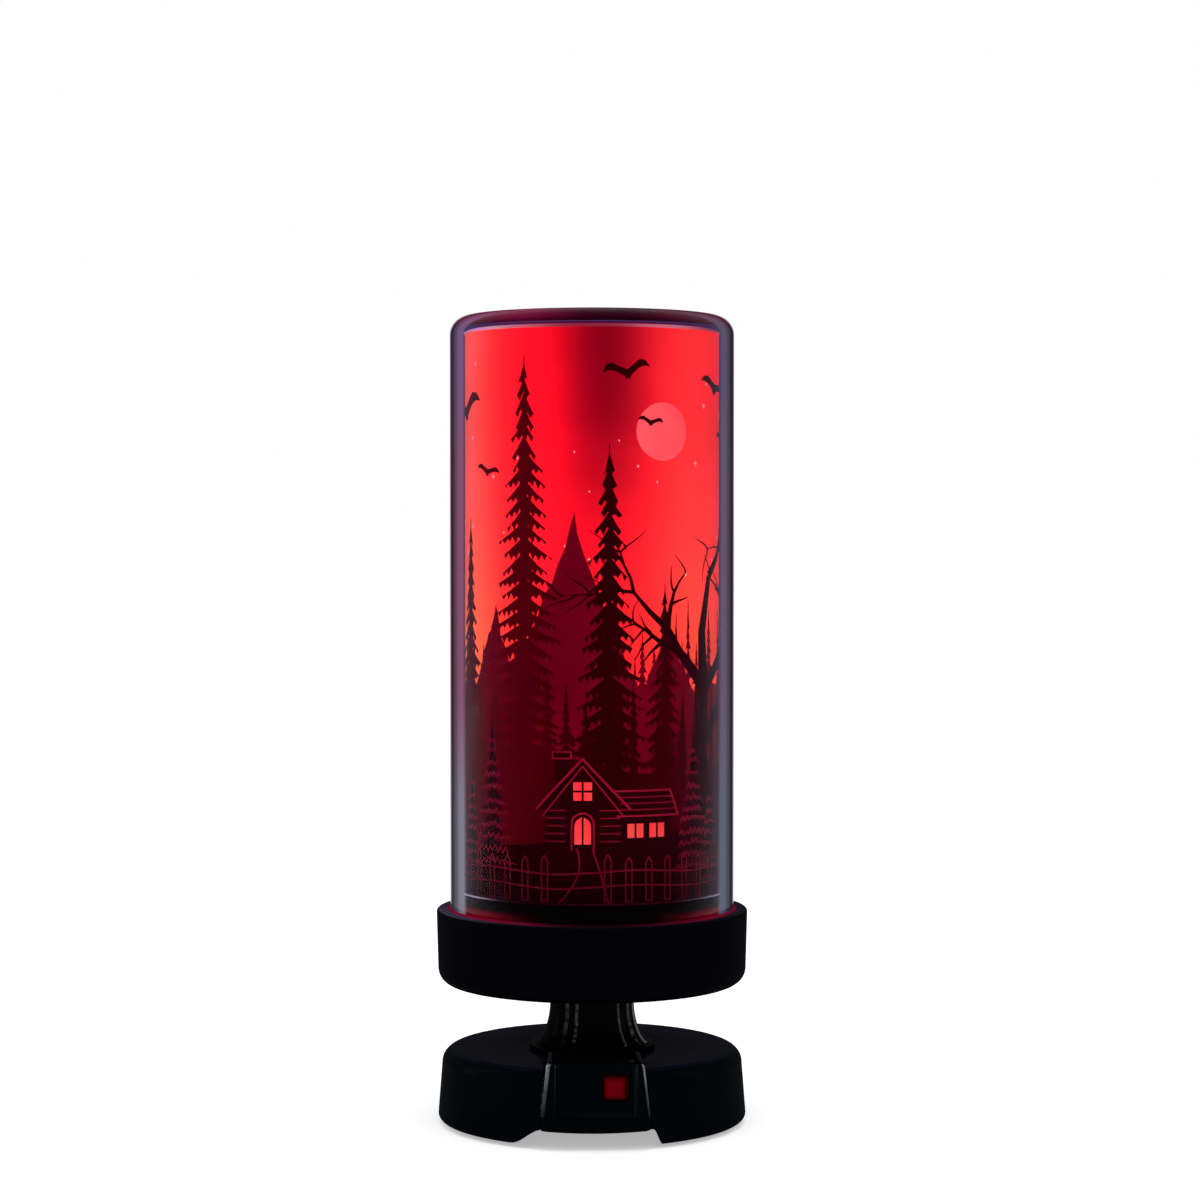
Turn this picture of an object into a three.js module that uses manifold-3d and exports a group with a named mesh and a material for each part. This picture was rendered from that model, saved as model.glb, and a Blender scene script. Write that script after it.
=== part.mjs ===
// Glass night light: a lit glass cylinder in a round collar, which turns on a short neck above a round foot.
// Millimetres, +Z up, front towards -Y. The origin is the centre of the base, on the surface it stands on.
import * as THREE from 'three';
import { mergeVertices } from 'three/addons/utils/BufferGeometryUtils.js';
import Module from 'manifold-3d';

const wasm = await Module();
wasm.setup();

// Driving dimensions: heights, from the ground up
const padLift = 0.8;
const footHeight = 18.4;
const neckRise = 16.6;
const collarHeight = 19.2;
const glassRise = 152;

// Driving dimensions: diameters
const footDiameter = 79.2;
const neckDiameter = 21.6;
const collarDiameter = 80;

// Clearance between neighbouring pieces, and how far a cutting solid runs past what it cuts
const gap = 0.3;
const overrun = 1;

// Facets around a full turn, and steps in a rounded edge
const largeFacets = 40;
const mediumFacets = 24;
const smallFacets = 12;
const roundSteps = 4;
const bowSteps = 6;
const flareSteps = 6;
const weldTolerance = 0.0001;

// Foot shell
const footDraft = 1;
const footWall = 2;
const footTopThickness = 2.2;
const footTopRound = 3.8;
const footBottomRound = 1.6;
const footBossRadius = 3;
const footBossInset = 5.1;

// Screws: one size under the foot and collar, a smaller one on the boards
const screwShank = 1.3;
const screwHead = 2.5;
const screwHeadHeight = 1.5;
const screwBite = 6;
const screwSlotWidth = 0.7;
const screwSlotDepth = 0.6;
const boardScrewShank = 0.9;
const boardScrewHead = 1.8;
const boardScrewHeadHeight = 1.1;
const boardScrewBite = 1;

// Base plate, rubber feet and ballast
const plateRecess = 0.5;
const plateThickness = 2.2;
const padRadius = 4.4;
const padThickness = 1.6;
const padInset = 7.3;
const ballastHeadroom = 9.2;
const ballastBore = 11;
const ballastRimSpace = 2;

// Control pod on the foot's front, its arch below and the plate let into it
const podSetback = 0.4;
const podBackShare = 0.556;
const podRise = 2.6;
const podBackHalfWidth = 11.8;
const podFrontHalfWidth = 13.9;
const podSideWall = 1.6;
const podFrontWall = 2.8;
const podTopWall = 1.9;
const podFloorWall = 1.6;
const podEdgeRound = 1.9;
const archHeight = 4.2;
const archBow = 0.7;
const archLeftRun = 8.5;
const archLeftOverhang = 7.3;
const archRightRun = 2.6;
const archRoomOverhang = 1.7;
const archPlateDepth = 11.6;
const archLipWall = 1.6;
const inlayWidth = 19.4;
const inlayShift = 0.1;
const inlayThickness = 0.6;
const inlayInset = 0.2;
const inlaySetback = 6;
const podTaper = 1.7;
const podTaperStart = 3.5;
const inlayFootSpace = 3;

// Push button and the switch behind it
const buttonWidth = 6.1;
const buttonHeight = 5.9;
const buttonCornerRound = 1.3;
const buttonProud = 0.8;
const buttonShift = 5;
const buttonDrop = 6.1;
const buttonFlangeOverhang = 1.2;
const buttonFlangeThickness = 1;
const buttonStem = 0.7;
const buttonStemRadius = 2;
const buttonTravel = 1;
const plungerRadius = 1.5;
const plungerLength = 1.8;
const switchSize = 5.6;
const switchDepth = 3.4;
const boardThickness = 1.6;
const controlBoardWidth = 19;
const controlBoardFloorSpace = 0.7;

// Charge board, socket and battery cell
const chargeBoardWidth = 18;
const chargeBoardFront = 16;
const chargeBoardRimSpace = 2;
const socketWidth = 9;
const socketHeight = 3.2;
const socketDepth = 7.4;
const socketShell = 0.35;
const socketTongueWidth = 6.6;
const socketTongueThickness = 0.7;
const socketTongueShort = 1.2;
const socketWallSpace = 0.6;
const socketWindowMargin = 1.9;
const chargeScrewEdge = 3;
const batteryBossSpace = 1.5;
const batteryLength = 32;
const batteryThickness = 6;
const batteryInnerEdge = 11;
const batteryRound = 2;

// Threaded pipe through the neck, its nuts and washers
const pipeRadius = 4.5;
const pipeBore = 3;
const nutAcross = 13;
const nutThickness = 3;
const pipeStub = 0.4;
const washerThickness = 1;
const washerOverlap = 2.3;
const frictionWasherThickness = 0.8;
const frictionWasherInset = 1;

// Neck: flare at its foot, spigot into the foot's hole, entry into the collar
const neckPipeSpace = 1.7;
const neckFlareOut = 5.2;
const neckFlareRise = 11;
const neckFlareEdge = 0.5;
const neckSpigotWall = 1.6;
const neckEntry = 0.5;

// Swivel stop
const stopPinRadius = 1.2;
const stopPinRise = 2;
const stopPinSink = 1.8;
const stopTabHalfWidth = 2.6;
const stopTabOverhang = 1.6;

// Collar
const collarDraft = 0.4;
const collarBottomRound = 4;
const collarLipWidth = 3.2;
const collarLipRound = 0.8;
const collarFloorThickness = 2.4;
const collarLedgeDrop = 11.1;
const collarLedgeWidth = 3.8;

// Gasket, glass, printed sleeve and diffuser
const gasketThickness = 1.5;
const gasketInset = 0.3;
const glassWall = 2.9;
const glassTopThickness = 3.3;
const glassTopRound = 5;
const glassInnerRound = 2;
const sleeveAirGap = 1;
const sleeveThickness = 0.3;
const sleeveHeadroom = 0.7;
const diffuserWall = 1.5;
const diffuserCapThickness = 0.9;

// Light seat, LED board and LEDs
const seatRise = 4.3;
const seatWall = 2.2;
const seatTopThickness = 2.4;
const seatBossRadius = 3.4;
const seatBossInset = 3.1;
const seatRingWall = 1.8;
const seatRingRise = 4;
const seatLeadHole = 4;
const ledBoardRimSpace = 0.8;
const ledSize = 5;
const ledThickness = 1.6;
const ledCircleShare = 0.62;
const ledScrewCircleShare = 0.33;

// Lead through the pipe
const leadRadius = 1.2;
const leadBend = 6;
const leadLift = 0.4;

// Counts, and the angles of what isn't spread evenly, in degrees from +X
const seatScrewCount = 3;
const ledCount = 6;
const pairCount = 2;
const nutSides = 6;
const leadSides = 8;
const leadSteps = 14;
const bossAngles = [0, 60, 120, 180];
const padAngles = [-43, 30, 150, 223];

// Heights worked out from the driving dimensions
const shellBottom = padLift;
const footTop = shellBottom + footHeight;
const collarBottom = footTop + neckRise;
const collarTop = collarBottom + collarHeight;
const glassTop = collarTop + glassRise;

// Foot levels and radii
const footRadius = footDiameter / 2;
const footTopRadius = footRadius - footDraft;
const footInnerRadius = footTopRadius - footWall;
const footCeiling = footTop - footTopThickness;
const plateBottom = shellBottom + plateRecess;
const plateTop = plateBottom + plateThickness;
const plateRadius = footInnerRadius - gap;
const ballastBottom = plateTop + gap;
const ballastTop = footCeiling - ballastHeadroom;
const ballastRadius = plateRadius - ballastRimSpace;
const footBossBottom = ballastTop + gap;
const footBossCircle = footInnerRadius - footBossInset;
const padCircle = plateRadius - padInset;

// Pod levels
const podTop = footTop + podRise;
const podFront = footRadius - podSetback;
const podBack = footRadius * podBackShare;
const inlayBack = podBack + inlaySetback;
const podBottom = shellBottom + archHeight;
const archHalfWidth = podFrontHalfWidth + gap;
const archBack = podBack - gap;
const archLipTop = podBottom - gap;

// Button places: y runs from the button's face back to the control board
const buttonZ = podTop - buttonDrop;
const buttonFaceY = -podFront - buttonProud;
const flangeFrontY = -podFront + podFrontWall + gap;
const flangeBackY = flangeFrontY + buttonFlangeThickness;
const stemEndY = flangeBackY + buttonStem;
const plungerFrontY = stemEndY + gap;
const switchFrontY = stemEndY + buttonTravel + gap;
const switchBackY = switchFrontY + switchDepth;
const plungerBackY = plungerFrontY + plungerLength;
const controlBoardFrontY = switchBackY + gap;
const controlBoardTop = podTop - podTopWall - gap;
const controlBoardBottom = podBottom + podFloorWall + gap + controlBoardFloorSpace;

// Power places
const chargeBoardBottom = ballastTop + gap;
const chargeBoardTop = chargeBoardBottom + boardThickness;
const chargeBoardBack = footInnerRadius - chargeBoardRimSpace;
const socketBottom = chargeBoardTop + gap;
const socketZ = socketBottom + socketHeight / 2;
const socketMouthY = footInnerRadius - socketWallSpace;
const batteryOuterEdge = footBossCircle - footBossRadius - batteryBossSpace;

// Pipe stack from below the foot's ceiling to above the collar's floor
const neckRadius = neckDiameter / 2;
const neckBore = pipeRadius + neckPipeSpace;
const neckSpigotRadius = neckBore + neckSpigotWall;
const washerRadius = neckSpigotRadius + gap + washerOverlap;
const frictionWasherRadius = neckRadius - frictionWasherInset;
const neckBottom = footTop + gap;
const neckTop = collarBottom + neckEntry;
const neckFlareRadius = neckRadius + neckFlareOut;
const lowerWasherTop = footCeiling - gap;
const lowerWasherBottom = lowerWasherTop - washerThickness;
const lowerNutTop = lowerWasherBottom - gap;
const lowerNutBottom = lowerNutTop - nutThickness;
const pipeBottom = lowerNutBottom - pipeStub;
const frictionWasherBottom = neckTop + gap;
const collarRecessTop = frictionWasherBottom + frictionWasherThickness + gap;
const collarFloorTop = collarRecessTop + collarFloorThickness;
const stopWasherBottom = collarFloorTop + gap;
const upperNutBottom = stopWasherBottom + washerThickness + gap;
const pipeTop = upperNutBottom + nutThickness + pipeStub;

// Collar, glass and light levels and radii
const collarRadius = collarDiameter / 2;
const collarMouthRadius = collarRadius - collarLipWidth;
const glassRadius = collarMouthRadius - gap;
const collarWellRadius = collarMouthRadius - collarLedgeWidth;
const collarLedge = collarTop - collarLedgeDrop;
const gasketBottom = collarLedge + gap;
const glassBottom = gasketBottom + gasketThickness + gap;
const glassInnerRadius = glassRadius - glassWall;
const glassCeiling = glassTop - glassTopThickness;
const seatRadius = collarWellRadius - gap;
const seatBottom = collarFloorTop + gap;
const seatBossCircle = seatRadius - seatWall - seatBossRadius - seatBossInset;
const stopCircle = (washerRadius + seatBossCircle - seatBossRadius) / 2;
const seatTop = collarTop + seatRise;
const sleeveBottom = seatTop + gap;
const sleeveRadius = glassInnerRadius - sleeveAirGap;
const sleeveTop = glassCeiling - sleeveHeadroom;
const diffuserRadius = sleeveRadius - sleeveThickness - gap;
const diffuserBore = diffuserRadius - diffuserWall;
const diffuserCapTop = glassCeiling - gap;
const diffuserCapBottom = diffuserCapTop - diffuserCapThickness;
const diffuserTop = diffuserCapBottom - gap;
const seatRingRadius = diffuserBore - gap;
const ledBoardRadius = seatRingRadius - seatRingWall - ledBoardRimSpace;
const ledCircle = ledBoardRadius * ledCircleShare;
const ledBoardScrewCircle = ledBoardRadius * ledScrewCircleShare;
const ledBoardBottom = seatTop + gap;
const ledBoardTop = ledBoardBottom + boardThickness;

// Solids and geometries

function signedVolume(position, corners) {
  const a = new THREE.Vector3();
  const b = new THREE.Vector3();
  const c = new THREE.Vector3();
  let sum = 0;
  for (let i = 0; i < corners.length; i += 3) {
    a.fromBufferAttribute(position, corners[i]);
    b.fromBufferAttribute(position, corners[i + 1]);
    c.fromBufferAttribute(position, corners[i + 2]);
    sum += a.dot(b.cross(c));
  }
  return sum;
}

// One closed skin: shared vertices merged, collapsed faces dropped, faces pointing out
function weld(geometry) {
  const bare = geometry.clone();
  bare.deleteAttribute('normal');
  bare.deleteAttribute('uv');
  const merged = mergeVertices(bare, weldTolerance);
  const corners = merged.index.array;
  const kept = [];
  for (let i = 0; i < corners.length; i += 3) {
    const [a, b, c] = [corners[i], corners[i + 1], corners[i + 2]];
    if (a !== b && b !== c && c !== a) kept.push(a, b, c);
  }
  if (signedVolume(merged.attributes.position, kept) < 0) kept.reverse();
  merged.setIndex(kept);
  return merged;
}

function solid(geometry) {
  const skin = weld(geometry);
  return new wasm.Manifold(new wasm.Mesh({
    numProp: 3,
    vertProperties: new Float32Array(skin.attributes.position.array),
    triVerts: new Uint32Array(skin.index.array),
  }));
}

function skinOf(body) {
  const mesh = body.getMesh();
  const geometry = new THREE.BufferGeometry();
  geometry.setAttribute('position', new THREE.BufferAttribute(new Float32Array(mesh.vertProperties), 3));
  geometry.setIndex(new THREE.BufferAttribute(new Uint32Array(mesh.triVerts), 1));
  return geometry;
}

function cut(body, ...tools) {
  return tools.reduce((rest, tool) => rest.subtract(tool), body);
}

function join(body, ...others) {
  return others.reduce((whole, other) => whole.add(other), body);
}

// Points of an arc, or of a quarter ellipse, as [across, up] pairs; angles in degrees
function arc(centre, radii, from, to, steps = roundSteps) {
  const points = [];
  for (let i = 0; i <= steps; i += 1) {
    const angle = THREE.MathUtils.degToRad(from + ((to - from) * i) / steps);
    points.push([centre[0] + radii[0] * Math.cos(angle), centre[1] + radii[1] * Math.sin(angle)]);
  }
  return points;
}

// Evenly spaced numbers, both ends among them
function spaced(from, to, steps) {
  return Array.from({ length: steps + 1 }, (_, i) => from + ((to - from) * i) / steps);
}

// A profile of [radius, z] pairs turned about Z
function turned(profile, facets) {
  const points = profile.map(([radius, z]) => new THREE.Vector2(radius, z));
  if (profile[0][0] > 0) points.push(points[0].clone());
  return new THREE.LatheGeometry(points, facets).rotateX(Math.PI / 2);
}

function rod(radius, bottom, top, facets) {
  return turned([[0, bottom], [radius, bottom], [radius, top], [0, top]], facets);
}

function ring(bore, radius, bottom, top, facets) {
  return turned([[bore, bottom], [radius, bottom], [radius, top], [bore, top]], facets);
}

function outline(points) {
  return new THREE.Shape(points.map(([u, v]) => new THREE.Vector2(u, v)));
}

// A circle as an outline of equal sides, its first corner on the outline's first axis
function circle(radius, sides) {
  const turn = (2 * Math.PI) / sides;
  const corner = (_, i) => [radius * Math.cos(i * turn), radius * Math.sin(i * turn)];
  return outline(Array.from({ length: sides }, corner));
}

function rounded(width, height, round) {
  const [u, v] = [width / 2 - round, height / 2 - round];
  return outline([
    ...arc([u, v], [round, round], 0, 90),
    ...arc([-u, v], [round, round], 90, 180),
    ...arc([-u, -v], [round, round], 180, 270),
    ...arc([u, -v], [round, round], 270, 360),
  ]);
}

// Extrusions: of a plan upwards, of an (x, z) outline from front to back, of a (y, z) outline across X
function raised(shape, bottom, top) {
  const settings = { depth: top - bottom, bevelEnabled: false };
  return new THREE.ExtrudeGeometry(shape, settings).translate(0, 0, bottom);
}

function deep(shape, front, back) {
  const settings = { depth: back - front, bevelEnabled: false };
  return new THREE.ExtrudeGeometry(shape, settings).rotateX(Math.PI / 2).translate(0, back, 0);
}

function across(shape, left, right) {
  const settings = { depth: right - left, bevelEnabled: false };
  const toSide = new THREE.Matrix4().makeBasis(
    new THREE.Vector3(0, 1, 0),
    new THREE.Vector3(0, 0, 1),
    new THREE.Vector3(1, 0, 0),
  );
  return new THREE.ExtrudeGeometry(shape, settings).applyMatrix4(toSide).translate(left, 0, 0);
}

function block(low, high) {
  const size = high.map((value, i) => value - low[i]);
  const centre = high.map((value, i) => (value + low[i]) / 2);
  return new THREE.BoxGeometry(...size).translate(...centre);
}

// Places around the axis, at given angles in degrees or spread evenly from a first one
function atAngles(angles, radius) {
  return angles.map((angle) => {
    const turn = THREE.MathUtils.degToRad(angle);
    return [radius * Math.cos(turn), radius * Math.sin(turn)];
  });
}

function around(count, radius, firstAngle) {
  const angles = Array.from({ length: count }, (_, i) => firstAngle + (360 * i) / count);
  return atAngles(angles, radius);
}

// Upright rods at a list of places, to join or to cut with
function rods(places, radius, bottom, top) {
  return places.map(([x, y]) => solid(rod(radius, bottom, top, smallFacets).translate(x, y, 0)));
}

const bossPlaces = atAngles(bossAngles, footBossCircle);
const padPlaces = atAngles(padAngles, padCircle);
const seatPlaces = around(seatScrewCount, seatBossCircle, 90);
const ledPlaces = around(ledCount, ledCircle, 0);
const ledScrewPlaces = around(pairCount, ledBoardScrewCircle, 0);
const chargeScrewX = chargeBoardWidth / 2 - chargeScrewEdge;
const chargeScrewPlaces = [-chargeScrewX, chargeScrewX].map((x) => [x, chargeBoardFront + chargeScrewEdge]);

// Foot: profile shared by the shell and by nothing else
function footProfile() {
  const roundTop = [footTopRadius - footTopRound, footTop - footTopRound];
  const roundBottom = [footRadius - footBottomRound, shellBottom + footBottomRound];
  return [
    [neckSpigotRadius + gap, footTop],
    ...arc(roundTop, [footTopRound, footTopRound], 90, 0),
    ...arc(roundBottom, [footBottomRound, footBottomRound], 0, -90),
    [footInnerRadius, shellBottom],
    [footInnerRadius, footCeiling],
    [neckSpigotRadius + gap, footCeiling],
  ];
}

// Outer body of the control pod, grown on every side for the opening that takes it
function podBody(grow) {
  const [top, front, back, bottom] = [podTop + grow, podFront + grow, podBack - grow, podBottom - grow];
  const round = podEdgeRound + grow;
  const low = bottom - archBow - overrun;
  const side = outline([
    [-back, low],
    [-back, top],
    ...arc([-front + round, top - round], [round, round], 90, 180),
    [-front, low],
  ]);
  const plan = outline([
    [-podBackHalfWidth - grow, -back],
    [podBackHalfWidth + grow, -back],
    ...arc([podFrontHalfWidth + grow - round, -front + round], [round, round], 0, -90),
    ...arc([-podFrontHalfWidth - grow + round, -front + round], [round, round], 270, 180),
  ]);
  const half = podFrontHalfWidth + grow + overrun;
  const bowed = outline([
    ...spaced(-half, half, bowSteps).map((x) => [x, bottom - archBow * (1 - (x / half) ** 2)]),
    [half, bottom + podTaperStart],
    [half - overrun, bottom + podTaperStart],
    [half - overrun - podTaper, top],
    [half - overrun - podTaper, top + overrun],
    [-half + overrun + podTaper, top + overrun],
    [-half + overrun + podTaper, top],
    [-half + overrun, bottom + podTaperStart],
    [-half, bottom + podTaperStart],
  ]);
  return solid(across(side, -half, half))
    .intersect(solid(raised(plan, low, top)))
    .intersect(solid(deep(bowed, -front - overrun, -back + overrun)));
}

// Arch under the pod: a long soft slope at its left end, a short one at its right end
function archCut(back) {
  const [left, right] = [-archHalfWidth - archLeftOverhang, archHalfWidth];
  const swell = (t) => shellBottom + archHeight * (3 * t * t - 2 * t ** 3);
  const shape = outline([
    [left, shellBottom - overrun],
    [right + archRightRun, shellBottom - overrun],
    ...spaced(0, 1, bowSteps).map((t) => [right + archRightRun * (1 - t), swell(t)]),
    ...spaced(1, 0, bowSteps).map((t) => [left + archLeftRun * t, swell(t)]),
  ]);
  return solid(deep(shape, -footRadius - overrun, back));
}

function socketWindow() {
  const width = socketWidth + 2 * socketWindowMargin;
  const height = socketHeight + 2 * socketWindowMargin;
  const shape = rounded(width, height, height / 2 - socketShell);
  return solid(deep(shape, socketMouthY - socketWallSpace, footRadius + overrun).translate(0, 0, socketZ));
}

function footShell() {
  const body = solid(turned(footProfile(), largeFacets));
  const pilotTop = footBossBottom + screwBite + gap;
  const bosses = rods(bossPlaces, footBossRadius, footBossBottom, footCeiling + footTopThickness / 2);
  const pilots = rods(bossPlaces, screwShank + gap, footBossBottom - overrun, pilotTop);
  return skinOf(cut(join(body, ...bosses), ...pilots, podBody(gap), archCut(-archBack), socketWindow()));
}

// Control pod: a housing open at its back, with a pocket for the inlay and a hole for the button
function inlayBand(outer, inner, bottom, back, width) {
  const [round, tight] = [podEdgeRound - outer, podEdgeRound - inner];
  const centre = [-podFront + podEdgeRound, podTop - podEdgeRound];
  const shape = outline([
    [-back, podTop - outer],
    ...arc(centre, [round, round], 90, 180),
    [-podFront + outer, bottom],
    [-podFront + inner, bottom],
    ...arc(centre, [tight, tight], 180, 90),
    [-back, podTop - inner],
  ]);
  return solid(across(shape, inlayShift - width / 2, inlayShift + width / 2));
}

function buttonHole(grow) {
  const shape = rounded(buttonWidth + 2 * grow, buttonHeight + 2 * grow, buttonCornerRound);
  return solid(deep(shape, -podFront - overrun, flangeFrontY).translate(buttonShift, 0, buttonZ));
}

function controlPod() {
  const halfInside = podBackHalfWidth - podSideWall;
  const hollow = block(
    [-halfInside, -podFront + podFrontWall, podBottom + podFloorWall],
    [halfInside, -podBack + overrun, podTop - podTopWall],
  );
  const depth = inlayInset + inlayThickness + gap;
  const pocketBottom = podBottom + inlayFootSpace - gap;
  const pocket = inlayBand(-overrun, depth, pocketBottom, inlayBack - gap, inlayWidth + 2 * gap);
  return skinOf(cut(podBody(0), solid(hollow), pocket, buttonHole(gap)));
}

function controlPlate() {
  const inner = inlayInset + inlayThickness;
  const band = inlayBand(inlayInset, inner, podBottom + inlayFootSpace, inlayBack, inlayWidth);
  return skinOf(cut(band, buttonHole(gap)));
}

function powerButton() {
  const capShape = rounded(buttonWidth, buttonHeight, buttonCornerRound);
  const flangeShape = rounded(buttonWidth + 2 * buttonFlangeOverhang, buttonHeight, buttonCornerRound);
  const cap = solid(deep(capShape, buttonFaceY, flangeBackY));
  const flange = solid(deep(flangeShape, flangeFrontY, flangeBackY));
  const stem = solid(deep(circle(buttonStemRadius, smallFacets), flangeFrontY, stemEndY));
  return skinOf(join(cap, flange, stem)).translate(buttonShift, 0, buttonZ);
}

function switchPlunger() {
  return deep(circle(plungerRadius, smallFacets), plungerFrontY, plungerBackY)
    .translate(buttonShift, 0, buttonZ);
}

function tactSwitch() {
  const half = switchSize / 2;
  const body = solid(block([-half, switchFrontY, -half], [half, switchBackY, half]));
  const wellBack = plungerBackY + buttonTravel + gap;
  const well = solid(deep(circle(plungerRadius + gap, smallFacets), switchFrontY - overrun, wellBack));
  return skinOf(cut(body, well)).translate(buttonShift, 0, buttonZ);
}

function controlBoard() {
  const half = controlBoardWidth / 2;
  const low = [-half, controlBoardFrontY, controlBoardBottom];
  return block(low, [half, controlBoardFrontY + boardThickness, controlBoardTop]);
}

// Bottom cover: a disc cut away behind the arch, with a lip around the cut
function archRoom(space, bottom, top) {
  const [left, right] = [-archHalfWidth - archRoomOverhang - space, archHalfWidth + space];
  return solid(block([left, -footRadius - overrun, bottom], [right, -archBack + space, top]));
}

function basePlate() {
  const disc = solid(rod(plateRadius, plateBottom, plateTop, largeFacets));
  const lip = solid(rod(plateRadius, plateBottom, archLipTop, largeFacets))
    .intersect(archRoom(archLipWall, plateBottom - overrun, archLipTop + overrun));
  const pockets = rods(padPlaces, padRadius + gap, plateBottom - overrun, padThickness + gap);
  const sinks = rods(bossPlaces, screwHead + gap, plateBottom - overrun, plateBottom + screwHeadHeight);
  const holes = rods(bossPlaces, screwShank + gap, plateBottom - overrun, plateTop + overrun);
  const room = archRoom(0, plateBottom - overrun, archLipTop + overrun);
  const slopes = archCut(-footRadius + archPlateDepth);
  return skinOf(cut(join(disc, lip), room, slopes, ...pockets, ...sinks, ...holes));
}

function footPad([x, y]) {
  return rod(padRadius, 0, padThickness, mediumFacets).translate(x, y, 0);
}

function ballastPlate() {
  const disc = solid(ring(ballastBore, ballastRadius, ballastBottom, ballastTop, largeFacets));
  const room = archRoom(archLipWall + gap, ballastBottom - overrun, ballastTop + overrun);
  const holes = rods(bossPlaces, screwShank + gap, ballastBottom - overrun, ballastTop + overrun);
  const threadBottom = ballastTop - boardScrewBite - gap;
  const threads = rods(chargeScrewPlaces, boardScrewShank + gap, threadBottom, ballastTop + overrun);
  return skinOf(cut(disc, room, ...holes, ...threads));
}

// A screw with a slotted pan head; its head faces down or up
function screw(headRadius, headHeight, shankRadius, length, headUp) {
  const head = solid(rod(headRadius, -headHeight, 0, smallFacets));
  const shank = solid(rod(shankRadius, -headHeight / 2, length, smallFacets));
  const slotLow = [-headRadius - overrun, -screwSlotWidth / 2, -headHeight - overrun];
  const slotHigh = [headRadius + overrun, screwSlotWidth / 2, -headHeight + screwSlotDepth];
  const whole = skinOf(cut(join(head, shank), solid(block(slotLow, slotHigh))));
  return headUp ? whole.rotateX(Math.PI) : whole;
}

function baseScrew([x, y]) {
  const under = plateBottom + screwHeadHeight - gap;
  const length = footBossBottom + screwBite - under;
  return screw(screwHead, screwHeadHeight - gap, screwShank, length, false).translate(x, y, under);
}

function seatScrew([x, y]) {
  const under = collarBottom + screwHeadHeight;
  const length = seatBottom + screwBite - under;
  return screw(screwHead, screwHeadHeight - gap, screwShank, length, false).translate(x, y, under);
}

function boardScrew([x, y], boardTop) {
  const length = boardThickness + 2 * gap + boardScrewBite;
  const whole = screw(boardScrewHead, boardScrewHeadHeight, boardScrewShank, length, true);
  return whole.translate(x, y, boardTop + gap);
}

// Power
function chargeBoard() {
  const half = chargeBoardWidth / 2;
  const low = [-half, chargeBoardFront, chargeBoardBottom];
  const board = solid(block(low, [half, chargeBoardBack, chargeBoardTop]));
  const holeRadius = boardScrewShank + gap;
  const holes = rods(chargeScrewPlaces, holeRadius, chargeBoardBottom - overrun, chargeBoardTop + overrun);
  return skinOf(cut(board, ...holes));
}

function usbSocket() {
  const [back, mouth] = [socketMouthY - socketDepth, socketMouthY];
  const shell = solid(deep(rounded(socketWidth, socketHeight, socketHeight / 2 - socketShell), back, mouth));
  const innerHeight = socketHeight - 2 * socketShell;
  const inner = rounded(socketWidth - 2 * socketShell, innerHeight, innerHeight / 2 - socketShell);
  const bore = solid(deep(inner, back + 2 * socketShell, mouth + overrun));
  const [halfWidth, halfThickness] = [socketTongueWidth / 2, socketTongueThickness / 2];
  const tongue = solid(block(
    [-halfWidth, back + socketShell, -halfThickness],
    [halfWidth, mouth - socketTongueShort, halfThickness],
  ));
  return skinOf(join(cut(shell, bore), tongue)).translate(0, 0, socketZ);
}

function batteryCell() {
  const shape = rounded(batteryOuterEdge - batteryInnerEdge, batteryLength, batteryRound);
  const bottom = ballastTop + gap;
  const x = -(batteryOuterEdge + batteryInnerEdge) / 2;
  return raised(shape, bottom, bottom + batteryThickness).translate(x, 0, 0);
}

// Neck and pipe
function neckColumn() {
  const flareCentre = [neckFlareRadius, neckBottom + neckFlareEdge + neckFlareRise];
  return turned([
    [neckBore, footCeiling],
    [neckSpigotRadius, footCeiling],
    [neckSpigotRadius, neckBottom],
    [neckFlareRadius, neckBottom],
    ...arc(flareCentre, [neckFlareOut, neckFlareRise], 270, 180, flareSteps),
    [neckRadius, neckTop],
    [neckBore, neckTop],
  ], largeFacets);
}

function lampPipe() {
  return ring(pipeBore, pipeRadius, pipeBottom, pipeTop, mediumFacets);
}

function pipeNut(bottom) {
  const shape = circle(nutAcross / 2 / Math.cos(Math.PI / nutSides), nutSides);
  shape.holes.push(circle(pipeRadius + gap, mediumFacets));
  return raised(shape, bottom, bottom + nutThickness);
}

function lowerWasher() {
  return ring(pipeRadius + gap, washerRadius, lowerWasherBottom, lowerWasherTop, mediumFacets);
}

function frictionWasher() {
  const top = frictionWasherBottom + frictionWasherThickness;
  return ring(pipeRadius + gap, frictionWasherRadius, frictionWasherBottom, top, mediumFacets);
}

function stopWasher() {
  const top = stopWasherBottom + washerThickness;
  const reach = stopCircle + stopTabOverhang;
  const disc = solid(rod(washerRadius, stopWasherBottom, top, mediumFacets));
  const tab = solid(block([-stopTabHalfWidth, 0, stopWasherBottom], [stopTabHalfWidth, reach, top]));
  const bore = solid(rod(pipeRadius + gap, stopWasherBottom - overrun, top + overrun, mediumFacets));
  return skinOf(cut(join(disc, tab), bore));
}

function stopPin() {
  return rod(stopPinRadius, collarFloorTop - stopPinSink, collarFloorTop + stopPinRise, smallFacets)
    .translate(0, -stopCircle, 0);
}

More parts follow.
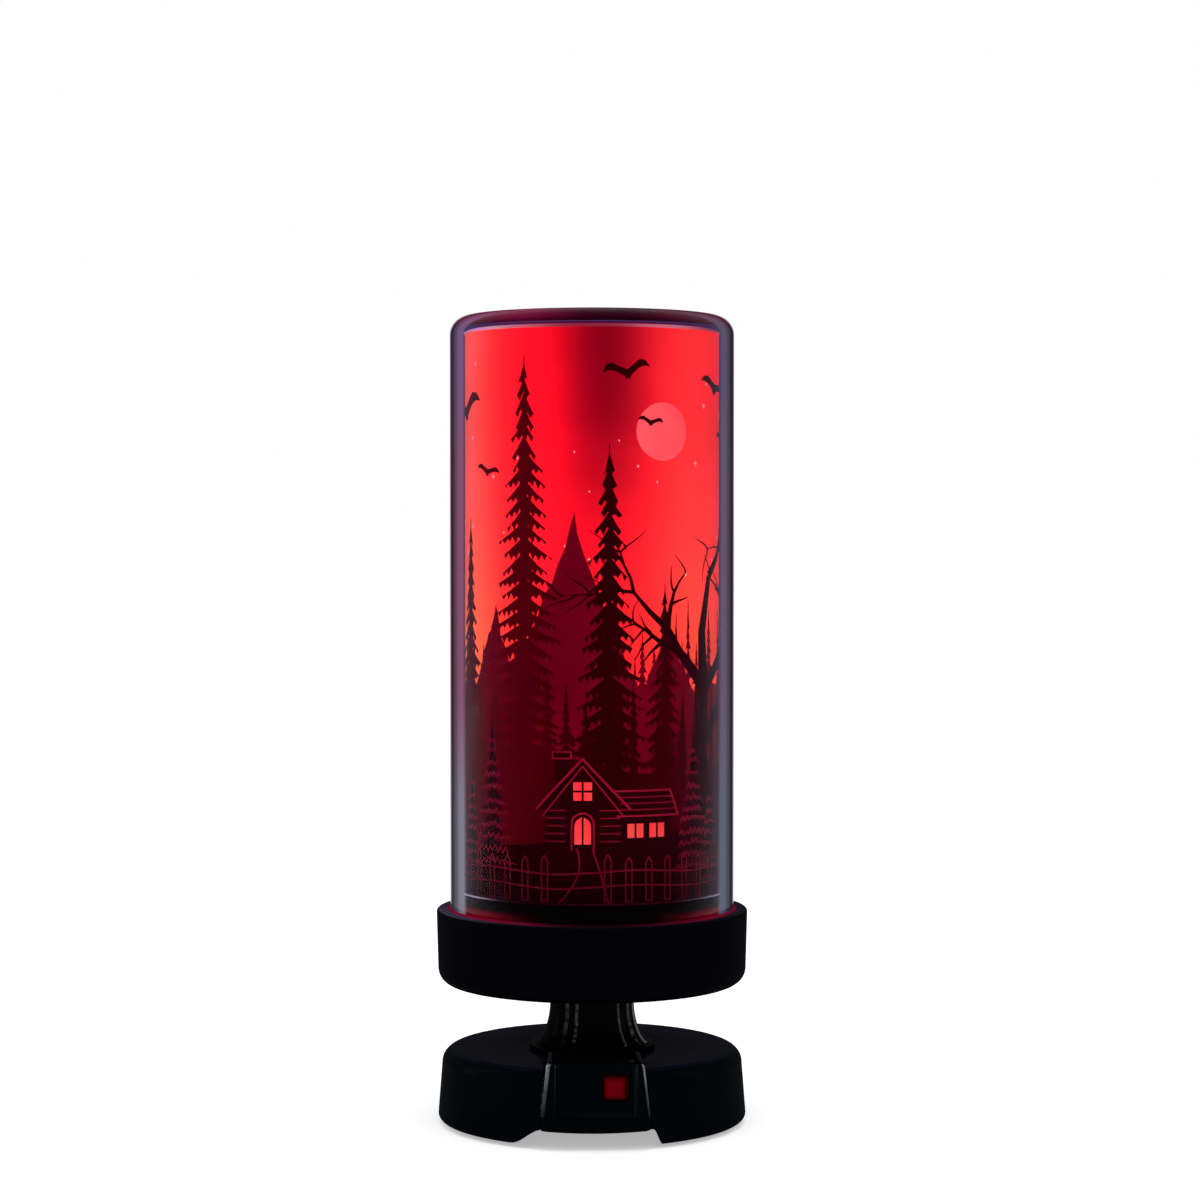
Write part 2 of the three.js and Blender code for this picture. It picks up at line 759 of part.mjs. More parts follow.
// Lead: from the charge board's front edge to the axis, round a bend and up through the pipe
function ledLead() {
  const z = ballastTop + gap + leadLift + leadRadius;
  const route = new THREE.CurvePath();
  const start = new THREE.Vector3(0, chargeBoardFront - gap, z);
  const turnIn = new THREE.Vector3(0, leadBend, z);
  const corner = new THREE.Vector3(0, 0, z);
  const turnOut = new THREE.Vector3(0, 0, z + leadBend);
  const end = new THREE.Vector3(0, 0, ledBoardBottom - gap);
  route.add(new THREE.LineCurve3(start, turnIn));
  route.add(new THREE.QuadraticBezierCurve3(turnIn, corner, turnOut));
  route.add(new THREE.LineCurve3(turnOut, end));
  const shape = circle(leadRadius, leadSides);
  return new THREE.ExtrudeGeometry(shape, { steps: leadSteps, extrudePath: route, bevelEnabled: false });
}

// Collar and what it holds
function collarShell() {
  const bottomRadius = collarRadius - collarDraft;
  const roundBottom = [bottomRadius - collarBottomRound, collarBottom + collarBottomRound];
  const lip = [collarRadius - collarLipRound, collarTop - collarLipRound];
  const recessRadius = neckRadius + gap;
  const body = solid(turned([
    [pipeRadius + gap, collarRecessTop],
    [recessRadius, collarRecessTop],
    [recessRadius, collarBottom],
    ...arc(roundBottom, [collarBottomRound, collarBottomRound], 270, 360),
    ...arc(lip, [collarLipRound, collarLipRound], 0, 90),
    [collarMouthRadius, collarTop],
    [collarMouthRadius, collarLedge],
    [collarWellRadius, collarLedge],
    [collarWellRadius, collarFloorTop],
    [pipeRadius + gap, collarFloorTop],
  ], largeFacets));
  const sinkTop = collarBottom + screwHeadHeight + gap;
  const sinks = rods(seatPlaces, screwHead + gap, collarBottom - overrun, sinkTop);
  const holes = rods(seatPlaces, screwShank + gap, collarBottom - overrun, collarFloorTop + overrun);
  const pinHoleBottom = collarFloorTop - stopPinSink - gap;
  const pinHoles = rods([[0, -stopCircle]], stopPinRadius + gap, pinHoleBottom, collarFloorTop + overrun);
  return skinOf(cut(body, ...sinks, ...holes, ...pinHoles));
}

function lightSeat() {
  const under = seatTop - seatTopThickness;
  const ringBore = seatRingRadius - seatRingWall;
  const drum = solid(turned([
    [seatLeadHole, under],
    [seatRadius - seatWall, under],
    [seatRadius - seatWall, seatBottom],
    [seatRadius, seatBottom],
    [seatRadius, seatTop],
    [seatRingRadius, seatTop],
    [seatRingRadius, seatTop + seatRingRise],
    [ringBore, seatTop + seatRingRise],
    [ringBore, seatTop],
    [seatLeadHole, seatTop],
  ], largeFacets));
  const bosses = rods(seatPlaces, seatBossRadius, seatBottom, under + seatTopThickness / 2);
  const pilots = rods(seatPlaces, screwShank + gap, seatBottom - overrun, seatBottom + screwBite + gap);
  const threadBottom = seatTop - boardScrewBite - gap;
  const threads = rods(ledScrewPlaces, boardScrewShank + gap, threadBottom, seatTop + overrun);
  return skinOf(cut(join(drum, ...bosses), ...pilots, ...threads));
}

function glassGasket() {
  const [inner, outer] = [glassInnerRadius + gasketInset, glassRadius - gasketInset];
  return ring(inner, outer, gasketBottom, gasketBottom + gasketThickness, largeFacets);
}

function glassCylinder() {
  const topRound = [glassRadius - glassTopRound, glassTop - glassTopRound];
  const innerRound = [glassInnerRadius - glassInnerRound, glassCeiling - glassInnerRound];
  return turned([
    [0, glassCeiling],
    ...arc(innerRound, [glassInnerRound, glassInnerRound], 90, 0, roundSteps / 2),
    [glassInnerRadius, glassBottom],
    [glassRadius, glassBottom],
    ...arc(topRound, [glassTopRound, glassTopRound], 0, 90),
    [0, glassTop],
  ], largeFacets);
}

function printedFilm() {
  return ring(sleeveRadius - sleeveThickness, sleeveRadius, sleeveBottom, sleeveTop, largeFacets);
}

function diffuserTube() {
  return ring(diffuserBore, diffuserRadius, sleeveBottom, diffuserTop, largeFacets);
}

function diffuserCap() {
  return rod(diffuserRadius, diffuserCapBottom, diffuserCapTop, largeFacets);
}

function ledBoard() {
  const disc = solid(rod(ledBoardRadius, ledBoardBottom, ledBoardTop, mediumFacets));
  const holes = rods(ledScrewPlaces, boardScrewShank + gap, ledBoardBottom - overrun, ledBoardTop + overrun);
  return skinOf(cut(disc, ...holes));
}

function led([x, y]) {
  const half = ledSize / 2;
  const bottom = ledBoardTop + gap;
  const low = [-half, -half, bottom];
  return block(low, [half, half, bottom + ledThickness]).rotateZ(Math.atan2(y, x)).translate(x, y, 0);
}

// Materials
function finish(color, roughness, metalness) {
  return { color, roughness, metalness };
}

const glossBlack = finish(0x0b0c10, 0.12, 0);
const satinBlack = finish(0x0c0c0e, 0.45, 0);
const mattBlack = finish(0x101012, 0.6, 0);
const redButton = finish(0xa5000c, 0.35, 0);
const rubberBlack = finish(0x161616, 0.85, 0);
const steel = finish(0x9a9b9e, 0.35, 1);
const brass = finish(0xb08a45, 0.35, 1);
const fibre = finish(0x6b4a2c, 0.8, 0);
const boardGreen = finish(0x1d5a34, 0.5, 0);
const whitePlastic = finish(0xe8e6e0, 0.5, 0);
const cellFoil = finish(0x8f9398, 0.4, 0.6);
const ledLens = finish(0xe8d9a0, 0.3, 0);
const leadSheath = finish(0x1a1a1c, 0.5, 0);
const clearGlass = finish(0xdfe6f2, 0.02, 0);
const printRed = finish(0x8f0614, 0.5, 0);

const lamp = new THREE.Group();

function place(name, geometry, look) {
  const material = new THREE.MeshStandardMaterial(look);
  const mesh = new THREE.Mesh(weld(geometry), material);
  mesh.name = name;
  lamp.add(mesh);
}

function placeEach(name, places, make, look) {
  places.forEach((spot, i) => place(`${name}_${i + 1}`, make(spot), look));
}

// Foot, controls and power
place('foot_shell', footShell(), glossBlack);
place('control_pod', controlPod(), glossBlack);
place('control_plate', controlPlate(), glossBlack);
place('power_button', powerButton(), redButton);
place('switch_plunger', switchPlunger(), satinBlack);
place('tact_switch', tactSwitch(), mattBlack);
place('control_board', controlBoard(), boardGreen);
place('base_plate', basePlate(), mattBlack);
placeEach('base_screw', bossPlaces, baseScrew, steel);
placeEach('foot_pad', padPlaces, footPad, rubberBlack);
place('ballast_plate', ballastPlate(), steel);
place('charge_board', chargeBoard(), boardGreen);
placeEach('charge_board_screw', chargeScrewPlaces, (spot) => boardScrew(spot, chargeBoardTop), steel);
place('usb_socket', usbSocket(), steel);
place('battery_cell', batteryCell(), cellFoil);

// Neck and pipe
place('neck_column', neckColumn(), glossBlack);
place('lamp_pipe', lampPipe(), brass);
place('washer_lower', lowerWasher(), steel);
place('pipe_nut_lower', pipeNut(lowerNutBottom), brass);
place('friction_washer', frictionWasher(), fibre);
place('stop_washer', stopWasher(), steel);
place('pipe_nut_upper', pipeNut(upperNutBottom), brass);
place('led_lead', ledLead(), leadSheath);

// Collar, glass and light
place('collar_shell', collarShell(), satinBlack);
place('stop_pin', stopPin(), steel);
place('light_seat', lightSeat(), satinBlack);
placeEach('seat_screw', seatPlaces, seatScrew, steel);
place('glass_gasket', glassGasket(), rubberBlack);
place('glass_cylinder', glassCylinder(), clearGlass);
place('led_board', ledBoard(), whitePlastic);
placeEach('led_board_screw', ledScrewPlaces, (spot) => boardScrew(spot, ledBoardTop), steel);
placeEach('led', ledPlaces, led, ledLens);
place('diffuser_tube', diffuserTube(), whitePlastic);
place('diffuser_cap', diffuserCap(), whitePlastic);
place('printed_film', printedFilm(), printRed);

export default lamp;
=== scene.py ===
import math
import random

import bmesh
import bpy
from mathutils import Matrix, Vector
from mathutils.geometry import delaunay_2d_cdt


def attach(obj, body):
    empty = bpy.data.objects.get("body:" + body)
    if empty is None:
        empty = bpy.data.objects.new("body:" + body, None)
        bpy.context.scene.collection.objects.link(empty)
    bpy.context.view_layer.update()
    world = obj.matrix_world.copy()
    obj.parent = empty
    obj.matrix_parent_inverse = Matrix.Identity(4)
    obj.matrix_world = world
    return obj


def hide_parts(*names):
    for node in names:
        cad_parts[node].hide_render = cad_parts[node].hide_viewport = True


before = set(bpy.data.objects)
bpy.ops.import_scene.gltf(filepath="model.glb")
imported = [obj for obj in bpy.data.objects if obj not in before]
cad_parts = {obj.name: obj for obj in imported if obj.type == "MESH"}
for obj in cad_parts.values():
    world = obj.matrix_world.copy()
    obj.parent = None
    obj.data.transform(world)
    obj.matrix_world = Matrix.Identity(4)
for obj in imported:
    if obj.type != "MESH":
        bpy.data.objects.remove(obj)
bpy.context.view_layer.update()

MM = 0.001

# Heights of the CAD model, in millimetres
SHELL_BOTTOM = 0.8
FOOT_CEILING = 17.0
FOOT_TOP = 19.2
COLLAR_BOTTOM = 35.8
COLLAR_TOP = 55.0
SEAT_TOP = 59.3
SLEEVE_BOTTOM = 59.6
SLEEVE_TOP = 203.0
GLASS_TOP = 207.0

# Radii of the CAD model, in millimetres
FOOT_RADIUS = 39.6
FOOT_TOP_RADIUS = 38.6
FOOT_INNER_RADIUS = 36.6
BASE_RADIUS = 36.3
COLLAR_RADIUS = 40.0
MOUTH_RADIUS = 36.8
GLASS_RADIUS = 36.5
GLASS_BORE = 33.6
SEAT_RADIUS = 32.7
SEAT_INNER_RADIUS = 30.5
SLEEVE_RADIUS = 32.6
DIFFUSER_RADIUS = 32.0
SCREW_HOLE = 1.6
SCREW_HEAD = 2.8

# Control pod, in millimetres
POD_TOP = 21.8
POD_BOTTOM = 5.0
POD_FRONT = 39.2
POD_BACK = 22.018
POD_BACK_HALF = 11.8
POD_FRONT_HALF = 13.9
POD_ROUND = 1.9
POD_TOP_ROUND = POD_ROUND * 0.75
POD_TAPER = 1.7
POD_TAPER_START = 3.5
INLAY_X = 0.1
ARCH_LEFT = -21.5
ARCH_LEFT_RUN = 8.5
ARCH_RIGHT = 14.2
ARCH_RIGHT_RUN = 2.6
ARCH_BOW = 0.7
ROOM_LEFT = -15.9
GAP = 0.3
AHEAD = -45

# Button, in millimetres
BUTTON_X = 5.0
BUTTON_Z = 15.7
BUTTON_WIDTH = 6.1
BUTTON_HEIGHT = 5.9
BUTTON_ROUND = 1.3
BUTTON_BACK = -36.1

# Points round a full turn
FINE_TURN = 180
BIG_TURN = 144
SMALL_TURN = 48


# Outlines

def polar(radius, degrees):
    turn = math.radians(degrees)
    return radius * math.cos(turn), radius * math.sin(turn)


BASE_SCREWS = [polar(31.5, degrees) for degrees in (0, 60, 120, 180)]
FOOT_PADS = [polar(29, degrees) for degrees in (-43, 30, 150, 223)]
SEAT_SCREWS = [polar(24.0, degrees) for degrees in (90, 210, 330)]


def box(left, right, low, high):
    return [(left, low), (right, low), (right, high), (left, high)]


def arc(centre, radii, start, end, steps=8):
    """Points of an arc or quarter ellipse, angles in degrees."""
    turns = [math.radians(start + (end - start) * i / steps) for i in range(steps + 1)]
    return [(centre[0] + radii[0] * math.cos(t), centre[1] + radii[1] * math.sin(t)) for t in turns]


def rounded(width, height, radius, centre=(0, 0), steps=6):
    u, v = width / 2 - radius, height / 2 - radius
    corners = ((u, v, 0), (-u, v, 90), (-u, -v, 180), (u, -v, 270))
    return [p for x, y, start in corners
            for p in arc((centre[0] + x, centre[1] + y), (radius, radius), start, start + 90, steps)]


def between(a, b, steps):
    """The points that cut a line into equal steps, without its ends."""
    return [(a[0] + (b[0] - a[0]) * k / steps, a[1] + (b[1] - a[1]) * k / steps) for k in range(1, steps)]


def eased(profile, rounds, steps=4):
    """The profile with some of its corners rounded: rounds maps a corner's index to its radius."""
    made = []
    count = len(profile)
    for i, point in enumerate(profile):
        if i not in rounds:
            made.append(point)
            continue
        here = Vector(point)
        before = Vector(profile[i - 1]) - here
        after = Vector(profile[(i + 1) % count]) - here
        half = before.angle(after) / 2
        reach = min(rounds[i] / math.tan(half), before.length * 0.49, after.length * 0.49)
        start, end = here + before.normalized() * reach, here + after.normalized() * reach
        for k in range(steps + 1):
            t = k / steps
            made.append(tuple((1 - t) ** 2 * start + 2 * t * (1 - t) * here + t * t * end))
    return made


# Meshes

def new_object(name, vertices, faces, sharp=32, merged=True):
    """A mesh object from points in millimetres, smooth but for edges sharper than the given angle."""
    mesh = bpy.data.meshes.new(name)
    mesh.from_pydata([Vector(v) * MM for v in vertices], [], faces)
    obj = bpy.data.objects.new(name, mesh)
    bpy.context.scene.collection.objects.link(obj)
    if merged:
        mesh.validate()
        clean(obj, sharp)
    else:
        shade(obj, sharp)
    return obj


def clean(obj, sharp=32):
    """Merges doubled points, turns every face outwards and shades the mesh."""
    work = bmesh.new()
    work.from_mesh(obj.data)
    bmesh.ops.remove_doubles(work, verts=work.verts, dist=2e-7)
    bmesh.ops.dissolve_degenerate(work, edges=work.edges, dist=1e-7)
    bmesh.ops.recalc_face_normals(work, faces=work.faces)
    work.to_mesh(obj.data)
    work.free()
    shade(obj, sharp)


def shade(obj, sharp):
    obj.data.shade_smooth()
    obj.data.set_sharp_from_angle(angle=math.radians(sharp))


def settle(obj):
    """Applies the modifiers."""
    graph = bpy.context.evaluated_depsgraph_get()
    mesh = bpy.data.meshes.new_from_object(obj.evaluated_get(graph))
    obj.modifiers.clear()
    old = obj.data
    obj.data = mesh
    bpy.data.meshes.remove(old)


def combine(obj, tools, operation="DIFFERENCE"):
    for tool in tools:
        step = obj.modifiers.new("combine", "BOOLEAN")
        step.operation = operation
        step.solver = "EXACT"
        step.object = tool
    settle(obj)
    for tool in tools:
        bpy.data.objects.remove(tool)


def soften(obj, width, segments):
    """Rounds every edge sharper than 38 degrees."""
    step = obj.modifiers.new("soften", "BEVEL")
    step.width = width * MM
    step.segments = segments
    step.limit_method = "ANGLE"
    step.angle_limit = math.radians(38)
    settle(obj)
    clean(obj)


def lathe(name, profile, turn=BIG_TURN, sharp=32):
    """A closed profile of (radius, height) pairs turned about the axis."""
    vertices, rings = [], []
    for radius, z in profile:
        if radius < 1e-6:
            rings.append([len(vertices)] * turn)
            vertices.append((0, 0, z))
            continue
        rings.append(list(range(len(vertices), len(vertices) + turn)))
        for k in range(turn):
            angle = 2 * math.pi * k / turn
            vertices.append((radius * math.cos(angle), radius * math.sin(angle), z))
    faces = []
    for low, high in zip(rings, rings[1:] + rings[:1]):
        if low[0] == low[1] and high[0] == high[1]:
            continue
        for k in range(turn):
            n = (k + 1) % turn
            corners = list(dict.fromkeys([low[k], low[n], high[n], high[k]]))
            if len(corners) > 2:
                faces.append(corners)
    return new_object(name, vertices, faces, sharp)


def loft(name, loops, sharp=32):
    """Closed loops of equal length joined in order, with flat ends."""
    count = len(loops[0])
    vertices = [point for loop in loops for point in loop]
    faces = [list(range(count)), [count * (len(loops) - 1) + k for k in range(count)][::-1]]
    for level in range(len(loops) - 1):
        for k in range(count):
            n = (k + 1) % count
            low, high = count * level, count * (level + 1)
            faces.append([low + k, low + n, high + n, high + k])
    return new_object(name, vertices, faces, sharp)


def prism(name, outline, axis, start, end):
    """An outline drawn along an axis; its points have the other two coordinates, in their order."""
    at = "xyz".index(axis)
    return loft(name, [[(*p[:at], depth, *p[at:]) for p in outline] for depth in (start, end)])


def post(name, spot, radius, bottom, top):
    """An upright round solid."""
    outline = arc(spot, (radius, radius), 0, 360 - 360 / SMALL_TURN, SMALL_TURN - 1)
    return prism(name, outline, "z", bottom, top)


# Materials

EVEN = (1, 1, 1)
BLACK = (0.0, 0.0, 0.0)
WHITE = (1.0, 1.0, 1.0)
MIX_A, MIX_B, MIX_COLOUR = 6, 7, 2


def scaled(colour, factor):
    return tuple(c * factor for c in colour)


def levels(colour, shares):
    """Stops of one colour in several strengths, from (position, strength) pairs."""
    return [(position, scaled(colour, share)) for position, share in shares]


class Nodes:
    """Adds nodes to a tree. An input takes a plain value, or another node's output to link."""

    def __init__(self, tree):
        self.tree = tree

    def fill(self, target, inputs):
        for key, value in inputs.items():
            socket = target.inputs[key]
            if isinstance(value, bpy.types.NodeSocket):
                self.tree.links.new(value, socket)
            else:
                socket.default_value = (*value, 1) if socket.type == "RGBA" else value

    def add(self, kind, inputs=None, output=0, **settings):
        made = self.tree.nodes.new("ShaderNode" + kind)
        for key, value in settings.items():
            setattr(made, key, value)
        self.fill(made, inputs or {})
        return made.outputs[output]

    def place(self, stretch=EVEN, shift=(0, 0, 0)):
        """The point on the object in metres, with each axis stretched and shifted."""
        return self.add("Mapping", {
            "Vector": self.add("TexCoord", output="Object"), "Location": shift, "Scale": stretch})

    def noise(self, scale, detail=3.0, stretch=EVEN, distortion=0.0):
        return self.add("TexNoise", {
            "Vector": self.place(stretch), "Scale": scale, "Detail": detail, "Distortion": distortion}, "Fac")

    def ramp(self, source, stops, easing="LINEAR"):
        made = self.add("ValToRGB", {"Fac": source})
        colours = made.node.color_ramp
        colours.interpolation = easing
        while len(colours.elements) < len(stops):
            colours.elements.new(1.0)
        for point, (position, colour) in zip(colours.elements, stops):
            point.position = position
            point.color = (*colour, 1)
        return made

    def mapped(self, source, start, end, low=0.0, high=1.0, easing="LINEAR"):
        """The source's stretch from start to end, as a number from low to high."""
        return self.add("MapRange", {
            "Value": source, "From Min": start, "From Max": end, "To Min": low, "To Max": high},
            interpolation_type=easing)

    def product(self, first, second):
        return self.add("Math", {0: first, 1: second}, operation="MULTIPLY")

    def blend(self, share, first, second, kind="MIX"):
        return self.add("Mix", {0: share, MIX_A: first, MIX_B: second}, MIX_COLOUR,
                        data_type="RGBA", blend_type=kind)

    def times(self, first, second):
        return self.blend(1.0, first, second, "MULTIPLY")

    def mottled(self, scale, dark, pale, detail=3.0, stretch=EVEN):
        """Patches between two colours."""
        return self.ramp(self.noise(scale, detail, stretch), [(0.3, dark), (0.7, pale)])

    def uneven(self, scale, low, high, detail=3.0, stretch=EVEN, distortion=0.0):
        """Patches between two numbers."""
        return self.mapped(self.noise(scale, detail, stretch, distortion), 0.3, 0.7, low, high)

    def grain(self, scale, depth, strength, detail=2.0, stretch=EVEN):
        """Bumps, their depth in millimetres."""
        return self.add("Bump", {
            "Height": self.noise(scale, detail, stretch), "Distance": depth * MM, "Strength": strength})

    def by_angle(self, stops, easing="B_SPLINE"):
        """Colours round the axis: 0 is the left side, 0.25 the front, 0.5 the right and 0.75 the back."""
        turn = self.add("TexGradient", {"Vector": self.place()}, "Fac", gradient_type="RADIAL")
        return self.ramp(turn, stops, easing)

    def by_height(self, low, high):
        """A number that goes from 0 to 1 between two heights in millimetres."""
        height = self.add("SeparateXYZ", {"Vector": self.place()}, "Z")
        return self.mapped(height, low * MM, high * MM, easing="SMOOTHSTEP")

    def by_radius(self, low, high):
        """A number that goes from 0 to 1 between two distances from the axis in millimetres."""
        radius = self.add("VectorMath", {0: self.place((1, 1, 0))}, "Value", operation="LENGTH")
        return self.mapped(radius, low * MM, high * MM, easing="SMOOTHSTEP")


class Paint(Nodes):
    """A new material, with its shader's sockets filled last."""

    def __init__(self, name):
        self.material = bpy.data.materials.new(name)
        self.material.use_nodes = True
        super().__init__(self.material.node_tree)
        self.shader = self.tree.nodes["Principled BSDF"]
        self.output = self.tree.nodes["Material Output"]

    def finish(self, sockets):
        self.fill(self.shader, sockets)
        return self.material


def moulded(name, colour, vary, patch, roughness, smudge, grain, depth, sockets=None,
            stretch=EVEN, strength=0.5):
    """A moulded, pressed or plated surface: patchy colour, uneven polish and a fine grain."""
    paint = Paint(name)
    tilt = paint.grain(grain, depth, strength, stretch=stretch)
    return paint.finish({
        "Base Color": paint.mottled(patch, scaled(colour, 1 - vary), scaled(colour, 1 + vary), 4.0, stretch),
        "Roughness": paint.uneven(smudge, *roughness, 5.0, stretch, 0.6),
        "Normal": tilt, "Coat Normal": tilt, **(sockets or {})})


gloss_black = moulded(
    "gloss_black", (0.0005, 0.0010, 0.0018), 0.3, 60, (0.08, 0.19), 90, 900, 0.010,
    {"Specular IOR Level": 0.0, "Coat Weight": 0.015, "Coat Roughness": 0.10}, strength=0.35)
groove_gloss = moulded(
    "groove_gloss", (0.002, 0.003, 0.004), 0.4, 400, (0.16, 0.24), 200, 500, 0.02,
    {"Specular IOR Level": 0.0, "Coat Weight": 0.28, "Coat IOR": 1.62, "Coat Roughness": 0.25}, strength=0.3)
matt_black = moulded(
    "matt_black", (0.012, 0.012, 0.013), 0.2, 90, (0.62, 0.78), 150, 2200, 0.040,
    {"Specular IOR Level": 0.25}, strength=0.6)
rubber_black = moulded(
    "rubber_black", (0.016, 0.016, 0.016), 0.25, 200, (0.75, 0.9), 300, 3000, 0.050,
    {"Specular IOR Level": 0.2, "Sheen Weight": 0.15, "Sheen Roughness": 0.5}, strength=0.7)
steel = moulded(
    "steel", (0.52, 0.52, 0.54), 0.08, 300, (0.24, 0.38), 500, 4000, 0.006,
    {"Metallic": 1.0}, (1, 6, 1), 0.4)
brass = moulded(
    "brass", (0.60, 0.42, 0.16), 0.1, 300, (0.2, 0.34), 500, 4000, 0.006,
    {"Metallic": 1.0}, (1, 1, 8), 0.4)
fibre = moulded("fibre", (0.20, 0.11, 0.05), 0.25, 700, (0.7, 0.85), 600, 3500, 0.03)
board_green = moulded("board_green", (0.02, 0.12, 0.05), 0.18, 500, (0.28, 0.4), 300, 1800, 0.015)
white_plastic = moulded(
    "white_plastic", (0.8, 0.78, 0.74), 0.03, 60, (0.4, 0.5), 150, 2400, 0.012,
    {"Subsurface Weight": 0.25, "Subsurface Radius": (0.002, 0.0015, 0.001)})
cell_foil = moulded(
    "cell_foil", (0.5, 0.52, 0.55), 0.08, 400, (0.3, 0.48), 500, 700, 0.08, {"Metallic": 1.0}, strength=0.6)
lead_sheath = moulded("lead_sheath", (0.02, 0.02, 0.022), 0.2, 300, (0.5, 0.6), 400, 3000, 0.02)


def lamp_lens():
    paint = Paint("led_lens")
    warm = paint.mottled(900, (0.72, 0.55, 0.2), (0.85, 0.7, 0.35))
    return paint.finish({
        "Base Color": warm, "Emission Color": warm, "Emission Strength": 1.0,
        "Roughness": paint.uneven(1500, 0.25, 0.4)})


def sides_of_front(paint, left, front, right):
    """Colours by angle for the left, the front and the right, and half their sides' mean at the back."""
    back = tuple((a + b) / 4 for a, b in zip(left, right))
    return paint.by_angle([
        (0.00, left), (0.08, left), (0.15, front), (0.36, front), (0.43, right), (0.52, right),
        (0.75, back), (1.00, left)], "LINEAR")


def clear_glass():
    """Tinted glass: its tint lies in its depth, so its thick edges are darker than its walls; where its walls are seen
    edge on, a painted shade darkens them further.
    Its solid top and its walls seen edge on carry painted light: an emission for the sleeve's light gathered there."""
    paint = Paint("clear_glass")
    facing = paint.add("LayerWeight", {"Blend": 0.5}, "Facing")
    backfacing = paint.add("NewGeometry", output="Backfacing")
    front = paint.add("Math", {0: 1.0, 1: backfacing}, operation="SUBTRACT")
    outside = paint.product(front, paint.by_radius(SEAT_INNER_RADIUS, 33.0))

    def grazing_painted_dark(start, end):
        return paint.product(paint.mapped(facing, start, end), outside)

    tint = paint.blend(paint.by_height(75, 165), (0.80, 0.30, 0.68), (0.95, 0.15, 0.80))
    tint = paint.blend(paint.by_height(58.8, 60.2), (0.25, 0.08, 0.10), tint)
    tint = paint.blend(paint.by_height(203.0, 203.6), tint, (0.90, 0.18, 0.40))
    # Painted light: a red glow round the solid top, stronger at some angles.
    edge = paint.by_angle(levels((0.22, 0.002, 0.045), [
        (0.00, 0.15), (0.06, 0.3), (0.12, 0.55), (0.165, 0.85), (0.20, 0.5), (0.24, 0.1), (0.30, 0.12),
        (0.34, 0.35), (0.45, 0.3), (0.52, 0.2), (0.75, 0.4), (1.00, 0.15)]))
    top_painted_glow = paint.blend(paint.by_height(202.6, 205.6), BLACK, edge)
    # Painted light: a glow by angle and height on the walls seen edge on, for light and reflections caught there.
    wall_painted_glow = paint.blend(
        paint.by_height(75, 115),
        sides_of_front(paint, (0.16, 0.15, 0.20), (0.03, 0.02, 0.04), (0.065, 0.07, 0.12)),
        sides_of_front(paint, (0.19, 0.035, 0.09), (0.03, 0.006, 0.02), (0.085, 0.045, 0.10)))
    wall_painted_glow = paint.blend(
        paint.by_height(165, 195), wall_painted_glow,
        sides_of_front(paint, (0.13, 0.045, 0.16), (0.012, 0.002, 0.008), (0.055, 0.035, 0.09)))
    turned = paint.ramp(facing, levels(WHITE, [
        (0.545, 0), (0.59, 1), (0.65, 0.9), (0.71, 0.3), (0.90, 0.15)]))
    glow = paint.blend(1.0, top_painted_glow, paint.times(wall_painted_glow, turned), "ADD")
    paint.fill(paint.output, {
        "Volume": paint.add("VolumeAbsorption", {"Color": (0.036, 0.239, 0.452), "Density": 330.0})})
    # Painted shade: colour and mirror turn dark where the walls are seen edge on.
    return paint.finish({
        "Transmission Weight": 1.0, "IOR": 1.18, "Roughness": 0.0, "Specular Tint": (0.11, 0.06, 0.11),
        "Base Color": paint.blend(grazing_painted_dark(0.545, 0.60), tint, (0.03, 0.02, 0.05)),
        "Metallic": grazing_painted_dark(0.58, 0.80), "Normal": paint.grain(26, 0.05, 0.02),
        "Emission Color": paint.blend(outside, BLACK, glow), "Emission Strength": 1.0})


def through_glass(paint, glow):
    """Print colours made up for the glass's tint, which is stronger high up."""
    return paint.times(glow, paint.blend(paint.by_height(75, 165), (1.26, 3.2, 1.19), (1.15, 2.9, 1.22)))


def lit(name, dark, pale, scale, strength, veil=None, dim_foot=False):
    """Print lit from behind: it glows in two tones, mottled as ink on film is, by angle where a veil is given."""
    paint = Paint(name)
    glow = paint.mottled(scale, dark, pale, 4.0)
    if veil is not None:
        glow = paint.times(glow, paint.by_angle(veil))
    if dim_foot:
        glow = paint.times(glow, paint.blend(paint.by_height(60, 82), scaled(WHITE, 0.3), WHITE))
    return paint.finish({
        "Base Color": (0.003, 0.0, 0.0), "Roughness": 0.6, "Specular IOR Level": 0.0,
        "Emission Color": through_glass(paint, glow), "Emission Strength": strength,
        "Normal": paint.grain(3000, 0.01, 0.3)})


